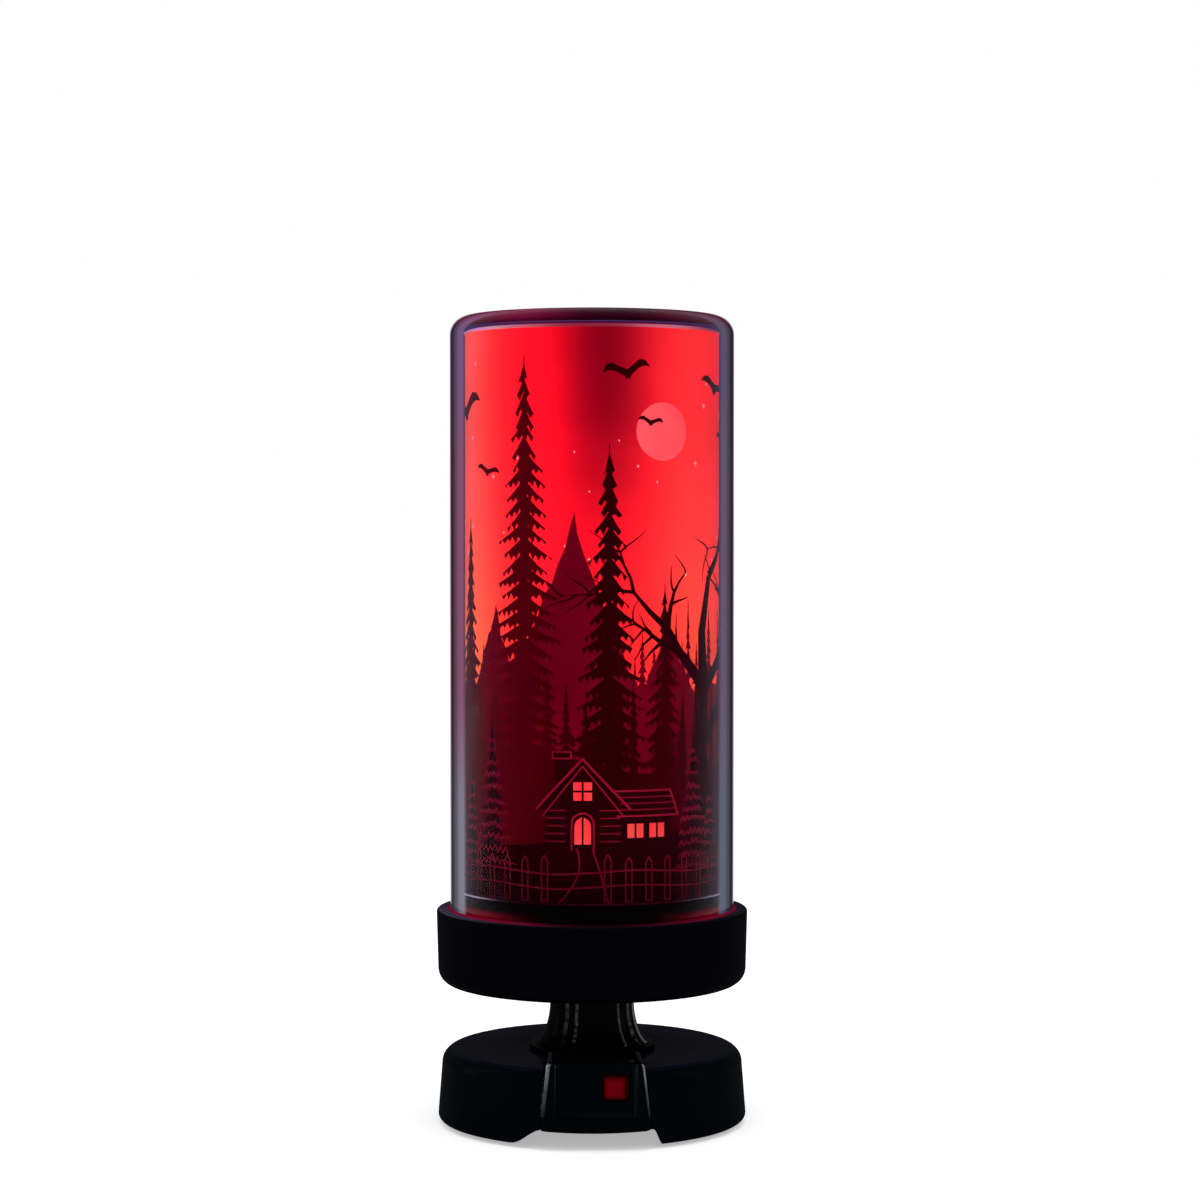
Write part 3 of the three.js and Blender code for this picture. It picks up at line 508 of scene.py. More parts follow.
def lit_film():
    """The sleeve's red sky: streaks of light round it, deeper red high up in front, mottled ink; the paler streaks at
    both sides of the front are painted reflections of lamps on the glass.
    """
    paint = Paint("lit_film")
    # Painted reflections: the paler stops near 0.055 to 0.085 and 0.385 stand for lamps mirrored in the glass.
    high = paint.by_angle([
        (0.00, (0.90, 0.10, 0.03)), (0.055, (0.95, 0.16, 0.045)), (0.085, (0.95, 0.085, 0.03)),
        (0.125, (0.95, 0.011, 0.010)), (0.19, (0.80, 0.006, 0.009)), (0.235, (0.15, 0.0, 0.0035)),
        (0.285, (0.13, 0.0, 0.0035)), (0.33, (0.66, 0.014, 0.012)), (0.385, (0.95, 0.06, 0.022)),
        (0.43, (0.95, 0.016, 0.010)), (0.50, (0.90, 0.016, 0.010)), (0.62, (0.50, 0.003, 0.008)),
        (0.75, (0.9, 0.02, 0.015)), (0.88, (0.45, 0.003, 0.008)), (1.00, (0.90, 0.10, 0.03))])
    low = paint.by_angle([
        (0.00, (0.90, 0.10, 0.03)), (0.055, (0.95, 0.17, 0.045)), (0.085, (0.95, 0.15, 0.04)),
        (0.13, (0.95, 0.022, 0.014)), (0.20, (0.95, 0.009, 0.011)), (0.25, (0.60, 0.006, 0.008)),
        (0.32, (0.95, 0.018, 0.014)), (0.385, (0.95, 0.09, 0.028)), (0.45, (0.95, 0.05, 0.018)),
        (0.50, (0.90, 0.04, 0.015)), (0.62, (0.6, 0.008, 0.010)), (0.75, (0.95, 0.04, 0.025)),
        (0.88, (0.6, 0.008, 0.010)), (1.00, (0.90, 0.10, 0.03))])
    sky = paint.blend(paint.by_height(125, 190), low, high)
    haze = paint.noise(14, 4.0, (1, 1, 2.6), 0.5)
    sky = paint.times(sky, paint.ramp(haze, [(0.35, (0.80, 0.78, 0.8)), (0.65, WHITE)]))
    sky = paint.times(sky, paint.blend(paint.by_height(60, 110), (0.30, 0.22, 0.24), WHITE))
    return paint.finish({
        "Base Color": (0.01, 0.0, 0.001), "Roughness": 0.55, "Specular IOR Level": 0.0,
        "Emission Color": through_glass(paint, sky), "Emission Strength": 4.4,
        "Normal": paint.grain(2600, 0.008, 0.3)})


def painted_glow_round(name, stops, strength, base=(0.02, 0.0, 0.004)):
    """A trim with painted light: an emission by angle that stands in for the sleeve's light caught unevenly round the
    lamp.
    """
    paint = Paint(name)
    return paint.finish({
        "Base Color": base, "Specular IOR Level": 0.0, "Roughness": paint.uneven(600, 0.3, 0.45),
        "Emission Color": paint.by_angle(stops), "Emission Strength": strength})


def red_button():
    """Translucent red plastic with its lamp behind it: a soft square of light."""
    paint = Paint("red_button")
    spot = paint.place(shift=(-(BUTTON_X - 0.3) * MM, 0, -BUTTON_Z * MM))
    along, up = (paint.add("Math", {0: paint.add("SeparateXYZ", {"Vector": spot}, axis)}, operation="ABSOLUTE")
                 for axis in "XZ")
    reach = paint.add("Math", {0: along, 1: up, 2: 0.8 * MM}, operation="SMOOTH_MAX")
    glow = paint.ramp(paint.mapped(reach, 3.0 * MM, 1.4 * MM, easing="SMOOTHSTEP"), [
        (0.0, (0.002, 0.0, 0.0003)), (0.5, (0.05, 0.0002, 0.002)), (1.0, (0.105, 0.0003, 0.003))])
    return paint.finish({
        "Base Color": paint.mottled(500, (0.012, 0.0, 0.0002), (0.018, 0.0, 0.0004)),
        "Specular IOR Level": 0.0, "Emission Color": glow, "Emission Strength": 1.0,
        "Roughness": paint.uneven(800, 0.3, 0.42), "Normal": paint.grain(2500, 0.01, 0.3, 3.0)})


def foot_painted_top_sheen():
    """Gloss black; the level top is painted lighter and bluish than the sides, a painted sheen."""
    paint = Paint("foot_black_painted_sheen")
    side = paint.mottled(60, (0.0004, 0.0009, 0.0017), (0.0008, 0.0016, 0.0030), 4.0)
    # Painted sheen: the top's colour is lighter and bluish than the sides'.
    top = paint.mottled(70, (0.0036, 0.0038, 0.0105), (0.0048, 0.0050, 0.0130), 4.0)
    tilt = paint.grain(900, 0.010, 0.35)
    return paint.finish({
        "Base Color": paint.blend(paint.by_height(18.4, 19.15), side, top), "Specular IOR Level": 0.0,
        "Coat Weight": 0.012, "Coat Roughness": 0.10, "Roughness": paint.uneven(90, 0.08, 0.19, 5.0),
        "Normal": tilt, "Coat Normal": tilt})


def worn_edge():
    """Gloss black polished by use along an edge, most of all towards its top."""
    paint = Paint("worn_edge")
    wear = paint.ramp(paint.by_height(9.0, 20.0), levels(WHITE, [(0.0, 0.10), (0.15, 0.28), (0.55, 0.35), (1.0, 1)]))
    tilt = paint.grain(700, 0.10, 0.5)
    return paint.finish({
        "Base Color": paint.mottled(400, (0.002, 0.003, 0.004), (0.005, 0.006, 0.008)),
        "Specular IOR Level": 0.0, "Coat Weight": wear, "Coat IOR": 1.8, "Coat Roughness": 0.16,
        "Roughness": paint.uneven(300, 0.12, 0.3), "Normal": tilt, "Coat Normal": tilt})


def collar_with_painted_light():
    """Satin black; the flat lip round the mouth is painted paler, most of all at the left, a painted reflection, and
    carries a painted red glow for the sleeve's light.
    """
    paint = Paint("satin_black")
    body = paint.mottled(80, (0.0004, 0.0004, 0.0012), (0.0007, 0.0007, 0.0018), 4.0)
    # Painted reflection: the lip's colour is paler at the left and dark in front.
    lip = paint.by_angle([
        (0.00, (0.045, 0.037, 0.070)), (0.07, (0.062, 0.052, 0.090)), (0.11, (0.035, 0.028, 0.050)),
        (0.15, (0.003, 0.002, 0.006)), (0.40, (0.003, 0.002, 0.006)), (0.50, (0.014, 0.012, 0.026)),
        (0.75, (0.004, 0.003, 0.008)), (1.00, (0.045, 0.037, 0.070))])
    # Painted light: a red glow on the lip next to the mouth, for the sleeve's light falling there.
    glow = paint.by_angle(levels((0.11, 0.005, 0.018), [
        (0.00, 0), (0.08, 0), (0.125, 0.5), (0.15, 1), (0.18, 0.9), (0.215, 0.15), (0.25, 0.06), (0.285, 0.1),
        (0.32, 0.6), (0.36, 0.7), (0.40, 0.8), (0.45, 0), (0.75, 0), (1.00, 0)]))
    glow = paint.blend(paint.by_radius(37.7, 38.7), glow, BLACK)
    tilt = paint.grain(2600, 0.020, 0.4)
    return paint.finish({
        "Base Color": paint.blend(paint.by_height(54.75, COLLAR_TOP), body, lip), "Specular IOR Level": 0.0,
        "Coat Weight": 0.014, "Coat Roughness": 0.35, "Roughness": paint.uneven(120, 0.30, 0.42, 5.0),
        "Emission Color": paint.blend(paint.by_height(54.2, 54.5), BLACK, glow), "Emission Strength": 1.0,
        "Normal": tilt, "Coat Normal": tilt})


def seat_with_painted_glints():
    """Satin black with painted red glints: an emission low down at both sides of the front that stands in for the
    sleeve's red light there.
    """
    paint = Paint("seat_black_painted_glints")
    # Painted glints: red light by angle, strongest left and right of the front.
    painted_red_glints = paint.by_angle(levels((1.0, 0.004, 0.06), [
        (0.00, 0.4), (0.04, 1), (0.10, 1), (0.135, 0.2), (0.17, 0), (0.20, 0), (0.31, 0), (0.34, 0),
        (0.38, 0.3), (0.42, 1), (0.46, 1), (0.52, 0.3), (0.6, 0), (0.7, 0.5), (0.8, 0), (0.9, 0.5), (1.00, 0.3)]))
    return paint.finish({
        "Base Color": (0.002, 0.001, 0.002), "Specular IOR Level": 0.0,
        "Emission Color": paint.blend(paint.by_height(55.9, 57.4), painted_red_glints, BLACK), "Emission Strength": 1.8,
        "Roughness": paint.uneven(300, 0.35, 0.5), "Normal": paint.grain(2600, 0.015, 0.4, 3.0)})


def cap_finish():
    """The milky cap, dim red with the light below it."""
    paint = Paint("cap_glow")
    return paint.finish({
        "Base Color": (0.06, 0.002, 0.012), "Specular IOR Level": 0.1, "Emission Strength": 0.5,
        "Emission Color": paint.mottled(90, (0.45, 0.0, 0.05), (0.6, 0.01, 0.08)),
        "Roughness": paint.uneven(300, 0.4, 0.5)})


def dress(obj, material, body, slot, *nodes):
    """Gives a piece its material and body, and names the CAD nodes that it replaces. Its slot is not used."""
    obj.data.materials.clear()
    obj.data.materials.append(material)
    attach(obj, body)
    if nodes:
        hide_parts(*nodes)


def polish(obj, material, picked):
    """Gives the picked faces a brighter polish."""
    obj.data.materials.append(material)
    for face in obj.data.polygons:
        if picked(face):
            face.material_index = 1


# Foot

def pod_loop(inset, z, grow=0.0):
    """Plan of the pod at one height, drawn in by the inset and rounded at its corners."""
    taper_start = POD_BOTTOM - grow + POD_TAPER_START
    taper = POD_TAPER * max(0.0, (z - taper_start) / (POD_TOP + grow - taper_start))
    slope = (POD_FRONT_HALF - taper - POD_BACK_HALF) / (POD_FRONT - POD_BACK)
    back, front = POD_BACK - grow + inset, POD_FRONT + grow - inset

    def half(y):
        return POD_BACK_HALF + slope * (y - POD_BACK) + grow - inset

    corners = [(-half(back), -back), (half(back), -back), (half(front), -front), (-half(front), -front)]
    round_front = max(POD_ROUND + grow - inset, 0.25)
    round_back = max(0.9 + grow - inset, 0.25)
    plan = []
    for x, y in eased(corners, {0: round_back, 1: round_back, 2: round_front, 3: round_front}, 8):
        if plan and abs(x - plan[-1][0]) > 5:
            plan += between(plan[-1], (x, y), 12)
        plan.append((x, y))
    sag = ARCH_BOW if z < POD_BOTTOM + 1 else 0.0
    return [(x, y, z - sag * max(0.0, 1 - (x / POD_FRONT_HALF) ** 2)) for x, y in plan]


def pod_body(name, grow=0.0):
    steps = 8
    round_top = POD_TOP_ROUND + grow
    bottom = POD_BOTTOM - grow
    loops = [pod_loop(inset, bottom + rise, grow)
             for inset, rise in ((0.35, 0), (0.1, 0.12), (0, 0.4), (0, POD_TAPER_START))]
    for k in range(steps + 1):
        turn = math.pi / 2 * k / steps
        inset = round_top * (1 - math.cos(turn))
        loops.append(pod_loop(inset, POD_TOP + grow - round_top * (1 - math.sin(turn)), grow))
    return loft(name, loops)


def button_hole():
    outline = rounded(BUTTON_WIDTH + 2 * GAP, BUTTON_HEIGHT + 2 * GAP, BUTTON_ROUND + GAP, (BUTTON_X, BUTTON_Z))
    return prism("hole", outline, "y", AHEAD, BUTTON_BACK)


def arch_outline():
    """Front view of the arch: a long soft slope at its left end, a short one at its right end."""
    shares = [k / 12 for k in range(13)]
    swell = [(t, SHELL_BOTTOM + (POD_BOTTOM - SHELL_BOTTOM) * (3 * t * t - 2 * t ** 3)) for t in shares]
    slope = [(ARCH_LEFT + ARCH_LEFT_RUN * t, z) for t, z in swell]
    step = [(ARCH_RIGHT + ARCH_RIGHT_RUN * (1 - t), z) for t, z in swell[::-1]]
    return [(ARCH_LEFT, SHELL_BOTTOM - 1.0), *slope, *step, (ARCH_RIGHT + ARCH_RIGHT_RUN, SHELL_BOTTOM - 1.0)]


def inlay_band(name, half_width, outer, inner, bottom, back):
    """A band that runs up the pod's front and back over its top, between two depths below its surface."""
    centre = (-POD_FRONT + POD_TOP_ROUND, POD_TOP - POD_TOP_ROUND)
    wide, tight = POD_TOP_ROUND - outer, POD_TOP_ROUND - inner
    outline = [
        (-back, POD_TOP - outer),
        *arc(centre, (wide, wide), 90, 180, 10),
        (-POD_FRONT + outer, bottom),
        (-POD_FRONT + inner, bottom),
        *arc(centre, (tight, tight), 180, 90, 10),
        (-back, POD_TOP - inner),
    ]
    return prism(name, outline, "x", INLAY_X - half_width, INLAY_X + half_width)


def edge_turn(face, least, most, rise=0.6):
    """Whether a face looks to a side of the front by an angle between the two, in degrees."""
    turn = math.degrees(math.atan2(abs(face.normal.x), -face.normal.y))
    return least < turn < most and abs(face.normal.z) < rise


def pod_edge(face):
    """Whether a face lies on one of the pod's upright front edges."""
    x, _, z = face.center / MM
    return (10.6 < z < 21.6 and abs(x) > 9.5 and edge_turn(face, 18, 82, 0.9)
            and (x < 0 or edge_turn(face, 32, 62, 0.9)))


def plate_edge(face):
    """Whether a face lies on one of the plate's upright edges that the light catches."""
    x, _, z = face.center / MM
    return abs(x) > 9 and edge_turn(face, 15, 80) and (z > 17 or x > 0)


def make_foot():
    shell = lathe("foot_shell_fine", [
        (8.1, FOOT_TOP),
        *arc((FOOT_TOP_RADIUS - 3.8, FOOT_TOP - 3.8), (3.8, 3.8), 90, 0, 12),
        *arc((FOOT_RADIUS - 1.6, SHELL_BOTTOM + 1.6), (1.6, 1.6), 0, -90, 8),
        (FOOT_INNER_RADIUS, SHELL_BOTTOM),
        (FOOT_INNER_RADIUS, FOOT_CEILING),
        (8.1, FOOT_CEILING),
    ], FINE_TURN)
    combine(shell, [post("boss", spot, 3.0, 8.1, FOOT_CEILING + 0.5) for spot in BASE_SCREWS], "UNION")
    combine(shell, [
        prism("arch", arch_outline(), "y", AHEAD, -(POD_BACK - GAP)),
        pod_body("opening", GAP),
        prism("window", rounded(12.8, 7.0, 3.15, (0, 11.6), 10), "y", 35, 45)])
    soften(shell, 0.22, 3)
    dress(shell, foot_painted_top_sheen(), "foot", "gloss_black", "foot_shell")

    pod = pod_body("control_pod_fine")
    combine(pod, [
        prism("hollow", box(-10.2, 10.2, -36.4, -20), "z", 6.6, 19.9),
        inlay_band("pocket", 10.0, -1.0, 1.1, 7.7, 27.72),
        button_hole()])
    soften(pod, 0.28, 4)
    dress(pod, gloss_black, "foot", "gloss_black", "control_pod")
    polish(pod, worn_edge(), pod_edge)

    plate = inlay_band("control_plate_fine", 9.7, 0.2, 0.8, 8.0, 28.02)
    combine(plate, [button_hole()])
    soften(plate, 0.2, 3)
    dress(plate, gloss_black, "foot", "gloss_black", "control_plate")
    polish(plate, groove_gloss, plate_edge)


def make_button():
    """A cushioned cap with rounded edges, on its flange and stem."""
    centre = (BUTTON_X, BUTTON_Z)
    loops = []
    for inset, y in ((0.55, -40.0), (0.30, -39.95), (0.10, -39.78), (0.0, -39.5), (0.0, BUTTON_BACK)):
        outline = rounded(BUTTON_WIDTH - 2 * inset, BUTTON_HEIGHT - 2 * inset, max(BUTTON_ROUND - inset, 0.5),
                          centre, 8)
        loops.append([(x, y, z) for x, z in outline])
    cap = loft("button_cap", loops, 40)
    flange = prism("flange", rounded(8.5, BUTTON_HEIGHT, BUTTON_ROUND, centre), "y", BUTTON_BACK, -35.1)
    stem = prism("stem", arc(centre, (2.0, 2.0), 0, 345, 23), "y", -35.6, -34.4)
    combine(cap, [flange, stem], "UNION")
    clean(cap, 40)
    dress(cap, red_button(), "button", "red_button", "power_button")


def make_base():
    bottom, top = 1.3, 3.5
    plate = lathe("base_plate_fine", eased(box(0, BASE_RADIUS, bottom, top), {1: 0.3, 2: 0.3}))
    left, right, back = ROOM_LEFT - 1.6, ARCH_RIGHT + 1.6, -20.12
    lip = prism("lip", [(left, -35.0), (left, back), (right, back), (right, -35.0)], "z", bottom, 4.7)
    combine(lip, [lathe("trim", box(0, BASE_RADIUS, 1.0, 5.0))], "INTERSECT")
    combine(plate, [lip], "UNION")
    cutters = [prism("room", box(ROOM_LEFT, ARCH_RIGHT, AHEAD, -21.72), "z", 0, 6),
               prism("slopes", arch_outline(), "y", AHEAD, -19.5)]
    cutters += [post("pocket", spot, 4.7, 0, 1.9) for spot in FOOT_PADS]
    for spot in BASE_SCREWS:
        cutters.append(post("sink", spot, SCREW_HEAD, 0, 2.8))
        cutters.append(post("hole", spot, SCREW_HOLE, 0, 4))
    combine(plate, cutters)
    clean(plate, 30)
    dress(plate, matt_black, "foot", "matt_black", "base_plate")
    for i, spot in enumerate(FOOT_PADS):
        pad = lathe(f"foot_pad_fine_{i + 1}", eased(box(0, 4.4, 0, 1.6), {1: 0.45, 2: 0.2}), SMALL_TURN)
        for corner in pad.data.vertices:
            corner.co.x += spot[0] * MM
            corner.co.y += spot[1] * MM
        dress(pad, rubber_black, "foot", "rubber", f"foot_pad_{i + 1}")


def make_neck():
    bore, top = 6.2, 36.3
    neck = lathe("neck_column_fine", [
        (bore, FOOT_CEILING), (7.8, FOOT_CEILING), (7.8, 19.5), (16.0, 19.5), (16.0, 19.75),
        *arc((16.0, 31.0), (5.2, 11.0), 270, 180, 20),
        (10.8, 36.0), (10.5, top), (bore, top),
    ])
    grooves, groove_depth = ((-37.5, -22.5), (37.5, 57.5)), 0.3
    for corner in neck.data.vertices:
        x, y, z = corner.co / MM
        angle, radius = math.degrees(math.atan2(x, -y)), math.hypot(x, y)
        if radius > 9 and 19.6 < z < 35.9 and any(a < angle < b for a, b in grooves):
            share = 1 - groove_depth / radius
            corner.co = Vector((x * share, y * share, z)) * MM
    shade(neck, 8)
    dress(neck, gloss_black, "foot", "gloss_black", "neck_column")
    worn = [(edge - 1.4, edge + 1.4) for pair in grooves for edge in pair] + [(70, 78)]

    def groove_edge(face):
        angle = math.degrees(math.atan2(face.center.x, -face.center.y))
        return (20.5 < face.center.z / MM < COLLAR_BOTTOM and face.center.xy.length > 9 * MM
                and any(a < angle < b for a, b in worn))

    polish(neck, groove_gloss, groove_edge)


# Collar, seat and glass

def make_head():
    floor, floor_top = 37.7, 40.1
    collar = lathe("collar_shell_fine", [
        (4.8, floor), (11.1, floor), (11.1, COLLAR_BOTTOM),
        *arc((35.6, COLLAR_BOTTOM + 4), (4, 4), 270, 360, 12),
        *arc((COLLAR_RADIUS - 0.8, COLLAR_TOP - 0.8), (0.8, 0.8), 0, 90, 8),
        *arc((MOUTH_RADIUS + 0.3, COLLAR_TOP - 0.3), (0.3, 0.3), 90, 180, 4),
        (MOUTH_RADIUS, 43.9), (33.0, 43.9), (33.0, floor_top), (4.8, floor_top),
    ])
    cutters = []
    for spot in SEAT_SCREWS:
        cutters.append(post("sink", spot, SCREW_HEAD, 34, 37.6))
        cutters.append(post("hole", spot, SCREW_HOLE, 34, 42))
    cutters.append(post("pin_hole", (0, -15.5), 1.5, 38.0, 42))
    combine(collar, cutters)
    clean(collar)
    dress(collar, collar_with_painted_light(), "head", "satin_black", "collar_shell")

    inner, bottom, ceiling, rim = SEAT_INNER_RADIUS, 40.4, 56.9, 63.3
    seat = lathe("light_seat_fine", [
        (4.0, ceiling), (inner, ceiling), (inner, bottom), (SEAT_RADIUS, bottom),
        *arc((SEAT_RADIUS - 0.5, SEAT_TOP - 0.5), (0.5, 0.5), 0, 90, 6),
        (30.2, SEAT_TOP), (30.2, rim), (28.4, rim), (28.4, SEAT_TOP), (4.0, SEAT_TOP),
    ])
    combine(seat, [post("boss", spot, 3.4, bottom, 57.3) for spot in SEAT_SCREWS], "UNION")
    clean(seat)
    dress(seat, seat_with_painted_glints(), "head", "satin_black", "light_seat")

    glass = lathe("glass_cylinder_fine", [
        (0, 203.7),
        *arc((GLASS_BORE - 2, 201.7), (2, 2), 90, 0, 10),
        *arc((GLASS_BORE + 0.5, 46.5), (0.5, 0.5), 180, 270, 4),
        *arc((GLASS_RADIUS - 1.2, 47.2), (1.2, 1.2), 270, 360, 6),
        *arc((GLASS_RADIUS - 5, GLASS_TOP - 5), (5, 5), 0, 90, 20),
        (0, GLASS_TOP),
    ], 192, 60)
    dress(glass, clear_glass(), "head", "clear_glass", "glass_cylinder")

    film = lathe("printed_film_fine", box(SLEEVE_RADIUS - 0.3, SLEEVE_RADIUS, SLEEVE_BOTTOM, SLEEVE_TOP), FINE_TURN)
    dress(film, lit_film(), "head", "lit_print", "printed_film")
    tube = lathe("diffuser_tube_fine", box(SEAT_INNER_RADIUS, DIFFUSER_RADIUS, SLEEVE_BOTTOM, 202.2))
    dress(tube, white_plastic, "head", "white_plastic", "diffuser_tube")
    cap = lathe("diffuser_cap_fine", eased(box(0, DIFFUSER_RADIUS, 202.5, 203.4), {2: 0.3}))
    dress(cap, cap_finish(), "head", "white_plastic", "diffuser_cap")


def make_trims():
    """Pale cut edges of the sleeve, and the bead that seals the glass in the collar's mouth; both glow with painted
    light.
    """
    # The sleeve's edges glow partly with the sleeve's own light; where they are pale, the glow is a painted highlight.
    white, pink, rose, dusk = (0.6, 2.0, 0.30), (0.40, 0.60, 0.13), (0.36, 0.32, 0.07), (0.15, 0.05, 0.022)
    top_glow = painted_glow_round("sleeve_edge_high", [
        (0.00, white), (0.06, white), (0.09, white), (0.13, pink), (0.17, rose), (0.21, dusk), (0.28, dusk),
        (0.31, rose), (0.35, pink), (0.38, rose), (0.42, dusk), (0.52, pink), (0.75, rose), (1.00, white)], 4.5)
    pale, low, none = (0.70, 1.0, 0.52), (0.10, 0.003, 0.015), (0.005, 0.0, 0.001)
    bottom_glow = painted_glow_round("sleeve_edge_low", [
        (0.00, pale), (0.05, pale), (0.08, pale), (0.11, none), (0.15, none), (0.22, scaled(low, 0.1)),
        (0.28, scaled(low, 0.2)), (0.34, scaled(low, 0.2)), (0.39, none), (0.43, scaled(pale, 0.6)),
        (0.46, pale), (0.50, scaled(pale, 0.5)), (0.75, low), (1.00, pale)], 2.6)
    for name, outer, bottom, top, glow in (
            ("sleeve_edge_top", 32.95, 202.3, SLEEVE_TOP, top_glow),
            ("sleeve_edge_bottom", 32.9, 59.65, 60.1, bottom_glow)):
        ring = lathe(name, eased(box(32.63, outer, bottom, top), {1: 0.1, 2: 0.1}), FINE_TURN)
        dress(ring, glow, "head", "white_plastic")

    # Painted light: the bead's red glow stands in for the sleeve's light at the collar's mouth.
    red, weak = (0.36, 0.007, 0.055), (0.004, 0.0, 0.001)
    bead_painted_glow = painted_glow_round("mouth_painted_glow", [
        (0.00, scaled(red, 0.4)), (0.06, scaled(red, 0.5)), (0.12, scaled(red, 0.4)), (0.17, scaled(red, 0.3)),
        (0.20, weak), (0.31, weak), (0.36, scaled(red, 0.2)), (0.44, scaled(red, 0.5)), (0.50, scaled(red, 0.4)),
        (0.75, weak), (1.00, scaled(red, 0.4))], 1.0, BLACK)
    bead = lathe("mouth_bead", eased([(36.54, 54.3), (36.77, 54.3), (37.10, 55.02), (36.98, 55.25), (36.54, 55.5)],
                                     {2: 0.08, 3: 0.15, 4: 0.08}), FINE_TURN)
    dress(bead, bead_painted_glow, "head", "clear_glass")


# Print on the sleeve: outlines in millimetres, u round the sleeve from its front, v up from its foot

STRIP = 2.0
SKIN = 0.05
RIDGE_STEP = 1.6


def signed_area(points):
    return sum(a[0] * b[1] - b[0] * a[1] for a, b in zip(points, points[1:] + points[:1])) / 2


def decal(name, outlines, layer, material):
    """Outlines filled as one shape, cut into upright strips and wrapped round the sleeve as a thin skin."""
    points, faces, edges = [], [], []
    for outline in outlines:
        ordered = outline if signed_area(outline) > 0 else outline[::-1]
        faces.append(list(range(len(points), len(points) + len(ordered))))
        points.extend(Vector(p) for p in ordered)
    left, right = min(p.x for p in points), max(p.x for p in points)
    low, high = min(p.y for p in points) - 1, max(p.y for p in points) + 1
    for k in range(math.ceil(left / STRIP), math.floor(right / STRIP) + 1):
        edges.append((len(points), len(points) + 1))
        points.extend((Vector((k * STRIP, low)), Vector((k * STRIP, high))))
    spots, _, cells, _, _, owners = delaunay_2d_cdt(points, edges, faces, 0, 1e-5)
    kept = [tuple(cell) for cell, owner in zip(cells, owners) if owner]
    used = sorted({i for cell in kept for i in cell})
    index = {old: new for new, old in enumerate(used)}
    kept = [tuple(index[i] for i in cell) for cell in kept]
    vertices = []
    for radius in (SLEEVE_RADIUS + layer + SKIN, SLEEVE_RADIUS + layer):
        for i in used:
            angle = spots[i].x / SLEEVE_RADIUS
            vertices.append((radius * math.sin(angle), -radius * math.cos(angle), SLEEVE_BOTTOM + spots[i].y))
    count = len(used)
    sides = dict.fromkeys(edge for a, b, c in kept for edge in ((a, b), (b, c), (c, a)))
    walls = [(a, b, b + count, a + count) for a, b in sides if (b, a) not in sides]
    solid = [*kept, *[(c + count, b + count, a + count) for a, b, c in kept], *walls]
    dress(new_object(name, vertices, solid, 30, False), material, "head", "lit_print")


def fir(u, foot, tip, reach, tiers, draw):
    """A fir as overlapping skirts of drooping branches with ragged hems, and its stem."""
    step = (tip - foot) / (tiers + 1.2)
    stem = max(reach * 0.06, 0.3)
    shapes = [[(u - stem, foot), (u + stem, foot), (u + 0.12, tip + step * 0.5), (u - 0.12, tip + step * 0.5)]]
    for i in range(tiers):
        share = (i + 1) / tiers
        wide = reach * (0.08 + 0.92 * share ** 0.88)
        left, right = wide * draw.uniform(0.72, 1.12), wide * draw.uniform(0.72, 1.12)
        top = tip - step * i
        drop = step * draw.uniform(1.7, 2.1)
        low = top - drop
        hem = []
        teeth = max(2, int((left + right) / 1.5))
        for k in range(1, 2 * teeth):
            x = -left + (left + right) * k / (2 * teeth) + draw.uniform(-0.12, 0.12)
            bow = 0.12 * drop * (1 - abs(x) / max(left, right))
            lift = draw.uniform(0.20, 0.34) if k % 2 else draw.uniform(0.02, 0.12)
            hem.append((u + x, low + bow + drop * lift))
        shapes.append([
            (u, top), (u - left * 0.16, top - drop * 0.18), (u - left * 0.50, top - drop * 0.52),
            (u - left * 0.84, low + drop * 0.20), (u - left, low + drop * draw.uniform(0.06, 0.18)), *hem,
            (u + right, low + drop * draw.uniform(0.06, 0.18)), (u + right * 0.84, low + drop * 0.20),
            (u + right * 0.50, top - drop * 0.52), (u + right * 0.16, top - drop * 0.18)])
    return shapes


def limb(start, heading, length, thick, draw, depth, made):
    """A bare bough with crooked twigs, each an outline of its own."""
    spots, turn = [start], heading
    parts = 5
    for _ in range(parts):
        turn += draw.uniform(-0.32, 0.32)
        x, y = spots[-1]
        spots.append((x + math.cos(turn) * length / parts, y + math.sin(turn) * length / parts))
    left, right = [], []
    for i, (x, y) in enumerate(spots):
        before, after = spots[max(i - 1, 0)], spots[min(i + 1, parts)]
        run = math.atan2(after[1] - before[1], after[0] - before[0])
        half = thick / 2 * (1 - 0.78 * i / parts)
        left.append((x - math.sin(run) * half, y + math.cos(run) * half))
        right.append((x + math.sin(run) * half, y - math.cos(run) * half))
    made.append(left + right[::-1])
    if depth == 0:
        return
    for i in range(1, parts + 1):
        for side in (-1, 1):
            if draw.random() < (0.0 if i == 1 else 0.55):
                aim = turn if i == parts else heading
                share = 1 - 0.62 * i / parts
                limb(spots[i], aim + side * draw.uniform(0.45, 0.95), length * draw.uniform(0.38, 0.54),
                     max(thick * share * 0.72, 0.55), draw, depth - 1, made)


def beside(outline, edge, side):
    """The part of an outline on one side of an upright line."""
    made = []
    for a, b in zip(outline, outline[1:] + outline[:1]):
        a_in, b_in = side * (a[0] - edge) > 0, side * (b[0] - edge) > 0
        if a_in:
            made.append(a)
        if a_in != b_in:
            made.append((edge, a[1] + (b[1] - a[1]) * (edge - a[0]) / (b[0] - a[0])))
    return made


def over_seam(outline):
    """An outline cut at the sleeve's seam, with the rest of it on the seam's other side."""
    turn = 2 * math.pi * SLEEVE_RADIUS
    edge = turn / 2 - 0.01
    parts = [beside(beside([(x + move, y) for x, y in outline], -edge, 1), edge, -1) for move in (0, turn, -turn)]
    return [part for part in parts if len(part) > 2]


